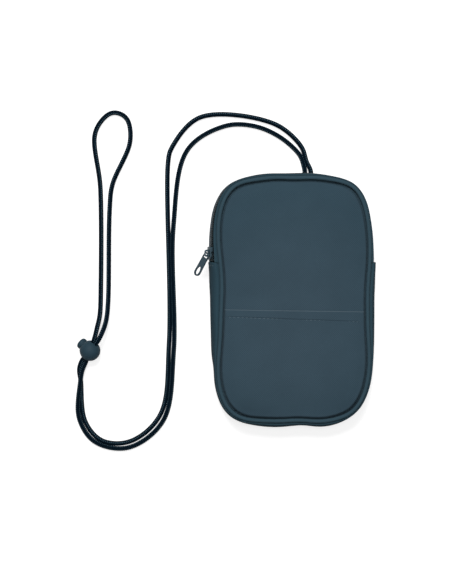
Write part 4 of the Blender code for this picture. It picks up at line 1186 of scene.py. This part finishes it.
def zip_frames(angles):
    """The zip's centre line, with its directions across and outwards."""
    turns = np.array(fold_turns())
    folds = wall(angles, turns, np.zeros(2))
    centre = folds.mean(axis=1)
    step = radians(0.5)
    after, before = (wall(angles + way, turns, np.zeros(2)).mean(axis=1) for way in (step, -step))
    along = unit(after - before)
    across = folds[:, 0] - folds[:, 1]
    half_width = np.linalg.norm(across, axis=1) / 2
    across /= 2 * half_width[:, None]
    return centre, across, unit(np.cross(along, across)), half_width


def zip_run():
    """Dense angles from the zip's right end to its left, and runs from the left end."""
    end = angle_at(ZIP_END_Y)
    dense = np.linspace(end, pi - end, 4001)
    run = run_along(zip_frames(dense)[0])
    return dense, run[-1] - run


def parting(run):
    """How far each coil stands aside, for a run from the zip's left end."""
    return 1.3 * MM * smooth_step((7.5 * MM - run) / (2.3 * MM))


def make_tapes(mats):
    end = angle_at(ZIP_END_Y)
    angles, run = even_angles(end, pi - end, 2.0 * MM)
    centre, across, outward, half_width = zip_frames(angles)
    for name, node, side in (("zip_tape_front_cloth", "zip_tape_front", 1),
                             ("zip_tape_back_cloth", "zip_tape_back", -1)):
        tuck = wall_turn(ZIP_CENTRE_Z + side * (ZIP_OPENING / 2 + 1.6 * MM))
        rows = []
        for depth in (TAPE_DEPTH, TAPE_DEPTH + TAPE_THICKNESS):
            slit = centre + across * side * 0.9 * MM - outward * depth
            bend = centre + across * side * (half_width - 0.3 * MM)[:, None] - outward * depth
            tucked = wall(angles, (tuck,), (depth,))[:, 0]
            steps = np.linspace(0, 1, 8)[:, None, None]
            rows.append(np.concatenate((slit + (bend - slit) * steps, bend + (tucked - bend) * steps[1:])))
        points = np.concatenate((rows[0], rows[1][::-1])).transpose(1, 0, 2)
        across_run = np.arange(points.shape[1] + 1) * 0.35 * MM
        obj = tube(name, points, mats["tape"], (run, across_run))
        settle(obj, node)


def make_coils(mats):
    """Two wound coils whose heads mesh at the centre line, parted at the slider."""
    dense, run = zip_run()
    pitch = 1.5 * MM
    total = run.max()
    turns = int(total / pitch) - 1
    loop = np.array([  # lateral, depth and share of the pitch along
        (2.0, 0.95, -0.28), (0.6, 1.05, -0.16), (-0.45, 0.95, -0.10), (-0.72, 0.62, 0.0),
        (-0.45, 0.30, 0.10), (0.6, 0.22, 0.16), (2.0, 0.32, 0.28), (2.35, 0.64, 0.5)])
    for name, node, side, offset in (("zip_coil_front", "zip_teeth_front", 1, 0.0),
                                     ("zip_coil_back", "zip_teeth_back", -1, 0.5)):
        base = (np.arange(turns)[:, None] + 0.5 + offset) * pitch
        places = (base + loop[:, 2] * pitch).ravel()
        keep = (places > 0.5 * MM) & (places < total - 0.5 * MM)
        lateral = np.tile(loop[:, 0] * MM, turns)[keep]
        depth = np.tile(loop[:, 1] * MM, turns)[keep]
        places = places[keep]
        centre, across, outward, _ = zip_frames(np.interp(places, run[::-1], dense[::-1]))
        aside = side * (lateral * 0.85 + parting(places))
        line = centre + across * aside[:, None] - outward * depth[:, None]
        points = sweep(line, np.full(len(line), COIL_WIRE), COIL_SIDES)
        around = np.arange(COIL_SIDES + 1) * 0.28 * MM
        obj = tube(name, points, mats["coil"], (run_along(line), around))
        settle(obj, node)


def slider_matrix():
    """X to the zip's front side, Y to its shut side, Z outwards."""
    dense, run = zip_run()
    line, across, _, _ = zip_frames(dense)
    here = np.argmin(np.abs(run - SLIDER_FROM_END))
    there = np.argmin(np.abs(run - SLIDER_FROM_END - SLIDER_TRAVEL))
    forward = Vector(line[there] - line[here]).normalized()
    side = Vector(across[(here + there) // 2])
    outward = side.cross(forward).normalized()
    side = forward.cross(outward)
    turn = Matrix((side, forward, outward)).transposed().to_4x4()
    return Matrix.Translation(Vector(line[here])) @ turn @ Matrix.Rotation(SLIDER_ROLL, 4, "Y")


def slider_outline():
    """A shield: straight narrow nose, rounded shoulders, softly round tail."""
    half = [(2.2 + 0.8 * sin(turn), 3.8 + 0.8 * cos(turn)) for turn in np.linspace(0, pi / 2, 6)]
    half.append((3.0, 1.2))
    half += [(3.0 + 0.8 * smooth_step(share), 1.0 - 2.2 * share) for share in np.linspace(0, 1, 7)]
    half += [(1.2 + 2.6 * cos(turn), -1.2 - 3.4 * sin(turn)) for turn in np.linspace(0, pi / 2, 10)[1:]]
    return in_mm(half + [(-x, y) for x, y in reversed(half)])


def make_slider(mats):
    frame = slider_matrix()
    metal = mats["metal"]
    upper = plate("slider_shell", [slider_outline()], SLIDER_UPPER, SLIDER_TOP - SLIDER_UPPER, metal)
    lower = plate("lower_plate", [slider_outline()], SLIDER_BASE, SLIDER_LOWER - SLIDER_BASE, metal)
    diamond = [(0, -3.0 * MM), (0.5 * MM, -2.0 * MM), (0, -1.0 * MM), (-0.5 * MM, -2.0 * MM)]
    wedge = plate("wedge", [diamond], SLIDER_LOWER - 0.3 * MM, SLIDER_UPPER - SLIDER_LOWER + 0.6 * MM, metal)
    flanges = [box("flange", (side * 2.7 * MM - 0.3 * MM, 1.0 * MM, -0.65 * MM),
                   (side * 2.7 * MM + 0.3 * MM, 4.2 * MM, 0.8 * MM), metal) for side in (-1, 1)]
    soften(upper, 0.35 * MM, 4)
    soften(lower, 0.3 * MM, 3)
    for piece in flanges:
        soften(piece, 0.15 * MM, 2)
    body = join(upper, lower, wedge, *flanges)
    body.matrix_world = frame
    bake(body)
    body.data.shade_smooth()
    body.data.set_sharp_from_angle(angle=radians(40))
    settle(body, "slider_body", "slider")

    outer = [(-2.5, 0), (-2.5, 1.9), (-2.2, 2.6), (-1.6, 3.0),
             (1.6, 3.0), (2.2, 2.6), (2.5, 1.9), (2.5, 0)]
    inner = [(1.2, 0.6), (1.2, 1.7), (1.05, 2.1), (0.75, 2.3),
             (-0.75, 2.3), (-1.05, 2.1), (-1.2, 1.7), (-1.2, 0.6)]
    bridge = plate("slider_bow", [in_mm(outer), in_mm(inner)],
                   -0.65 * MM, 1.3 * MM, metal)
    soften(bridge, 0.16 * MM, 3)
    upright = Matrix(((0, 0, 1), (1, 0, 0), (0, 1, 0))).to_4x4()
    bridge.matrix_world = frame @ Matrix.Translation((0, 0, SLIDER_TOP + 0.02 * MM)) @ upright
    bake(bridge)
    settle(bridge, "slider_bridge", "slider")
    return frame


def tab_matrix(frame):
    """X along the bar, Y from the tab's end to the bar, Z out of its face."""
    heading = Vector((cos(TAB_HEADING), sin(TAB_HEADING), 0))
    down = heading * cos(TAB_DROOP) - Vector((0, 0, sin(TAB_DROOP)))
    level_side = Vector((-heading.y, heading.x, 0))
    bar = level_side * cos(TAB_ROLL) + down.cross(level_side) * sin(TAB_ROLL)
    turn = Matrix((bar, -down, bar.cross(-down))).transposed().to_4x4()
    return Matrix.Translation(frame @ Vector((0, 0, SLIDER_TOP + 1.45 * MM))) @ turn


def make_tab(mats, frame):
    """Square shoulders at the bar, flared sides, and a round end with a long oval eye."""
    low, end = -17.7 * MM, 3.0 * MM
    right = [(2.3 * MM, 0.55 * MM), (2.6 * MM, 0.25 * MM), (2.7 * MM, -2.6 * MM), (2.75 * MM, -3.6 * MM),
             (2.75 * MM, -6.0 * MM)]
    right += [(end * cos(turn), low + end - end * sin(turn)) for turn in np.linspace(0, pi / 2, 14)]
    outline = right + [(-x, y) for x, y in reversed(right[:-1])]
    slot = [(-2.1, -3.0), (-1.85, -3.25), (1.6, -3.25), (1.85, -3.0), (1.85, -0.5), (-2.1, -0.5)]
    eye = []
    for turn in np.linspace(0, 2 * pi, 33)[:-1]:
        wide = 1.8 * MM * (1 - 0.16 * sin(turn))
        eye.append((wide * cos(turn), low + (1.1 + 3.1) * MM + 3.1 * MM * sin(turn)))
    tab = plate("zip_pull", [outline, in_mm(slot), eye], -0.5 * MM, 1.0 * MM, mats["metal"])
    soften(tab, 0.22 * MM, 3)
    tab.matrix_world = tab_matrix(frame) @ Matrix.Translation((TAB_SHIFT, 0, 0))
    bake(tab)
    settle(tab, "pull_tab", "tab")


# Seams inside

def make_bindings(mats):
    """Tapes round the raw seam edges, with rounded folds."""
    angles, run = whole_ring(3.0 * MM)
    corner = np.linspace(0, 2 * pi, 17)[:-1]
    for name, node, seam, side in (
            ("front_binding_tape", "front_seam_binding", FRONT_SEAM_Z, -1),
            ("back_binding_tape", "back_seam_binding", BACK_SEAM_Z, 1)):
        ring = []
        for turn in corner:
            inset = 0.9 * MM + 0.5 * MM * np.sign(cos(turn)) * abs(cos(turn)) ** 0.4
            height = seam + side * 3.3 * MM + 1.3 * MM * np.sign(sin(turn)) * abs(sin(turn)) ** 0.4
            flat = seam_outline(angles, inset) + LEAN * (height - BACK_SEAM_Z) / SEAM_DEPTH
            ring.append(np.column_stack((flat, np.full(len(angles), height))))
        around = np.arange(17) / 16 * 7.2 * MM
        obj = surface(name, np.stack(ring, axis=1), mats["lining"], wrap=(True, True), runs=(run, around))
        settle(obj, node)


# Cord and lock

def smooth_curve(points, steps=40):
    """A centripetal Catmull-Rom curve through the points."""
    points = np.asarray(points, float)
    knots = np.vstack((2 * points[0] - points[1], points, 2 * points[-1] - points[-2]))
    pieces = []
    for p0, p1, p2, p3 in zip(knots, knots[1:], knots[2:], knots[3:]):
        t1 = np.sqrt(np.linalg.norm(p1 - p0))
        t2 = t1 + np.sqrt(np.linalg.norm(p2 - p1))
        t3 = t2 + np.sqrt(np.linalg.norm(p3 - p2))
        t = np.linspace(t1, t2, steps, endpoint=False)[:, None]
        a1 = (t1 - t) / t1 * p0 + t / t1 * p1
        a2 = (t2 - t) / (t2 - t1) * p1 + (t - t1) / (t2 - t1) * p2
        a3 = (t3 - t) / (t3 - t2) * p2 + (t - t2) / (t3 - t2) * p3
        b1 = (t2 - t) / t2 * a1 + t / t2 * a2
        b2 = (t3 - t) / (t3 - t1) * a2 + (t - t1) / (t3 - t1) * a3
        pieces.append((t2 - t) / (t2 - t1) * b1 + (t - t1) / (t2 - t1) * b2)
    return np.vstack(pieces + [points[-1:]])


def lock_matrix():
    """X along the cords, Y across the slot, Z out along the plunger."""
    flat = cos(LOCK_RISE)
    along = Vector((cos(LOCK_HEADING) * flat, sin(LOCK_HEADING) * flat, sin(LOCK_RISE)))
    level = Vector((-sin(LOCK_HEADING), cos(LOCK_HEADING), 0))
    out = level * cos(LOCK_ROLL) + along.cross(level) * sin(LOCK_ROLL)
    turn = Matrix((along, out.cross(along), out)).transposed().to_4x4()
    return Matrix.Translation(Vector(LOCK_CENTRE)) @ turn


def lock_pass(side):
    """Where a cord passes the lock, up its slope (1) or down it (-1)."""
    turn = np.array(lock_matrix().to_3x3())
    along, out = turn[:, 0] * side, turn[:, 2] * side
    inner, outer = LOCK_CENTRE - out * LOCK_STACK, LOCK_CENTRE - out * LOCK_STACK_OUTSIDE
    return [outer - along * LOCK_RUN_IN, inner - along * LOCK_PINCH_RUN,
            inner + along * LOCK_PINCH_RUN, outer + along * LOCK_RUN_IN]


def cord_exit(x):
    """A cord's end against the gusset's outer face, over the back bead."""
    angles = np.linspace(radians(60), radians(120), 1201)
    line = wall(angles, (wall_turn(CORD_END_Z),), (0.0,))[:, 0]
    nearest = line[np.argmin(np.abs(line[:, 0] - x))]
    return np.array((x, nearest[1] - 0.4 * MM, CORD_END_Z))


def blur(line, steps):
    """The line eased by a bell of that many points' width, with its ends held."""
    reach = int(3 * steps)
    weights = bell(np.arange(-reach, reach + 1), steps)
    weights /= weights.sum()
    ahead, behind = 2 * line[:1] - line[reach:0:-1], 2 * line[-1:] - line[-2:-reach - 2:-1]
    padded = np.vstack((ahead, line, behind))
    return np.column_stack([np.convolve(padded[:, axis], weights, "valid") for axis in range(3)])


def cord_line():
    straight = np.array((0, 3.4 * MM, 0))
    left, right = (cord_exit(x) for x in CORD_ENDS_X)
    knots = [left, left + straight]
    knots += [np.array(place) * MM for place in ROUTE_TO_LOCK]
    knots += lock_pass(1)
    knots += [np.array(place) * MM for place in ROUTE_LOOP]
    knots += lock_pass(-1)
    knots += [np.array(place) * MM for place in ROUTE_FROM_LOCK]
    knots += [right + straight, right]
    line = smooth_curve(knots)
    line[:, 2] = np.maximum(line[:, 2], CORD_REST_Z)
    run = run_along(line)
    even = np.linspace(0, run[-1], int(run[-1] / CORD_STEP) + 1)
    line = sampled(even, run, line)
    once = blur(line, CORD_EASE / CORD_STEP)
    line = 2 * once - blur(once, CORD_EASE / CORD_STEP)
    line[:, 2] = np.maximum(line[:, 2], CORD_REST_Z)
    return line, run_along(line)


def make_cord(mats):
    """A braid with real crests: |sin(pi (n v + u / q)) sin(pi (n v - u / q))|."""
    line, run = cord_line()
    share = np.arange(CORD_SIDES) / CORD_SIDES
    turn, along = BRAID_COUNT * share, run[:, None] / BRAID_PITCH
    crest = np.abs(np.sin(pi * (turn + along)) * np.sin(pi * (turn - along))) ** 0.6
    away = np.linalg.norm(line - LOCK_CENTRE, axis=1)
    pinch = np.interp(away, (LOCK_PINCH_RUN, LOCK_RUN_IN), (PINCH_SHARE, 1.0))
    radii = CORD_RADIUS * pinch[:, None] * (1.06 + 0.12 * crest)
    around = np.arange(CORD_SIDES + 1) / CORD_SIDES
    obj = tube("braided_neck_cord", sweep(line, radii, CORD_SIDES), mats["braid"], (run, around))
    settle(obj, "neck_cord")
    return obj, line, run[-1]


def flared_slot():
    """The slot's cutter: a stadium for two cords, flared where they enter."""
    turns = np.linspace(0, 2 * pi, 49)[:-1]
    rings = []
    for x, flare in ((-12, 2.0), (-8, 1.0), (-6.6, 0.35), (-5.6, 0.08), (-4.5, 0),
                     (4.5, 0), (5.6, 0.08), (6.6, 0.35), (8, 1.0), (12, 2.0)):
        wide = 1.5 + flare
        rings.append([(x, wide * sin(turn), 1.5 * np.sign(cos(turn)) + wide * cos(turn)) for turn in turns])
    return tube("slot", np.array(rings) * MM, None)


def make_lock(mats):
    """A smooth ball with a flared mouth at each end, and a rounded sprung button."""
    place = lock_matrix()
    rings = np.linspace(0, pi, 41)[1:-1]
    half_circle = [(LOCK_RADIUS * sin(turn), LOCK_RADIUS * cos(turn)) for turn in rings]
    profile = [(0, LOCK_RADIUS), *half_circle, (0, -LOCK_RADIUS)]
    ball = turned("lock_ball", profile, mats["plastic"], steps=72)
    bore = [(0, 12), (4.2, 12), (4.2, 3.5), (3.75, 3.5), (3.75, -5.7), (2.4, -5.7), (2.4, -6.4), (0, -6.4)]
    cut(ball, turned("bore", in_mm(bore)))
    cut(ball, flared_slot())
    soften(ball, 0.25 * MM, 3, radians(40))
    ball.matrix_world = place
    bake(ball)
    cap = [(0, 9.9), (2.4, 9.86), (3.2, 9.74), (3.65, 9.5), (3.95, 9.1), (4.05, 8.6), (4.05, 7.5),
           (3.9, 7.0), (3.6, 6.7), (3.5, 6.4), (3.5, -3.6), (3.1, -3.9), (0, -3.9)]
    plunger = turned("lock_button", in_mm(cap), mats["plastic"], steps=56)
    cut(plunger, box("window", (-12 * MM, -1.5 * MM, -3.0 * MM), (12 * MM, 1.5 * MM, 4.5 * MM)))
    plunger.data.shade_smooth()
    plunger.data.set_sharp_from_angle(angle=radians(35))
    plunger.matrix_world = place
    bake(plunger)
    turns = np.linspace(0, 1, 90)
    angle = 2 * pi * 2.0 * turns
    coil = np.column_stack((SPRING_RADIUS * np.cos(angle), SPRING_RADIUS * np.sin(angle),
                            (-5.9 + 1.5 * turns) * MM))
    spring = tube("lock_coil_spring", sweep(coil, np.full(len(coil), SPRING_WIRE), 10), mats["steel"])
    spring.matrix_world = place
    bake(spring)
    for piece, node, body, slot in ((ball, "lock_body", "lock", "lock_plastic"),
                                    (plunger, "lock_plunger", "button", "lock_plastic"),
                                    (spring, "lock_spring", "lock", "spring_steel")):
        settle(piece, node, body)
    return [ball, plunger, spring]


# Studio

def seen_rays(tree):
    """1 for the rays that show the surroundings, and 0 for those that light the pouch."""
    rays = add(tree, "LightPath").outputs
    mirrored = calc(tree, "MAXIMUM", rays["Is Glossy Ray"], rays["Is Transmission Ray"])
    return calc(tree, "MAXIMUM", rays["Is Camera Ray"], mirrored)


def make_floor():
    floor = box("floor", (-3, -3, -0.02), (3, 3, -0.05 * MM))
    mat, tree, shader = start_material("white_table", 0.9, specular=0.0)
    seen = seen_rays(tree)
    tint = blend(tree, seen, (0.14, 0.14, 0.14, 1), (0.42, 0.42, 0.42, 1))
    tree.links.new(tint, shader.inputs["Base Color"])
    shader.inputs["Emission Color"].default_value = (1, 1, 1, 1)
    tree.links.new(calc(tree, "MULTIPLY", seen, 0.7), shader.inputs["Emission Strength"])
    floor.data.materials.append(mat)


def make_light(name, place, size, power):
    lamp = bpy.data.lights.new(name, "AREA")
    lamp.size = size
    lamp.energy = power
    obj = bpy.data.objects.new(name, lamp)
    obj.location = place
    obj.rotation_mode = "QUATERNION"
    obj.rotation_quaternion = (-Vector(place)).to_track_quat("-Z", "Y")
    bpy.context.scene.collection.objects.link(obj)


def make_studio():
    scene = bpy.context.scene
    scene.view_settings.view_transform = "Standard"
    world = bpy.data.worlds.new("studio")
    scene.world = world
    world.use_nodes = True
    background = world.node_tree.nodes["Background"]
    background.inputs["Color"].default_value = (1, 1, 1, 1)
    tree = world.node_tree
    strength = calc(tree, "ADD", calc(tree, "MULTIPLY", seen_rays(tree), 0.88), 0.12)
    tree.links.new(strength, background.inputs["Strength"])
    make_light("key", (-0.2, 0.95, 1.7), 0.6, 35.0)
    make_light("overhead", (0.05, 0.0, 1.6), 0.7, 10.5)
    make_floor()


def make_camera():
    data = bpy.data.cameras.new("camera")
    data.sensor_width = SENSOR
    data.lens = SENSOR / 2 / (VIEW_HEIGHT / 2 / CAMERA_HEIGHT)
    data.clip_start, data.clip_end = 0.01, 50
    camera = bpy.data.objects.new("camera", data)
    camera.location = (CAMERA_X, CAMERA_Y, CAMERA_HEIGHT)
    bpy.context.scene.collection.objects.link(camera)
    bpy.context.scene.camera = camera


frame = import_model()

make_camera()
make_studio()
mats = make_materials()
cord, cord_path, cord_length = make_cord(mats)
lock_pieces = make_lock(mats)
cloth_places, cloth_moves = press_out()
make_panels(mats)
hem_row = make_pocket(mats)
make_beads(mats)
lap_rows = make_lower_gusset(mats)
strip_rows = make_zip_strips(mats)
make_stitches(mats, [hem_row, *lap_rows, *strip_rows])
make_tapes(mats)
make_coils(mats)
slider_frame = make_slider(mats)
make_tab(mats, slider_frame)
make_bindings(mats)
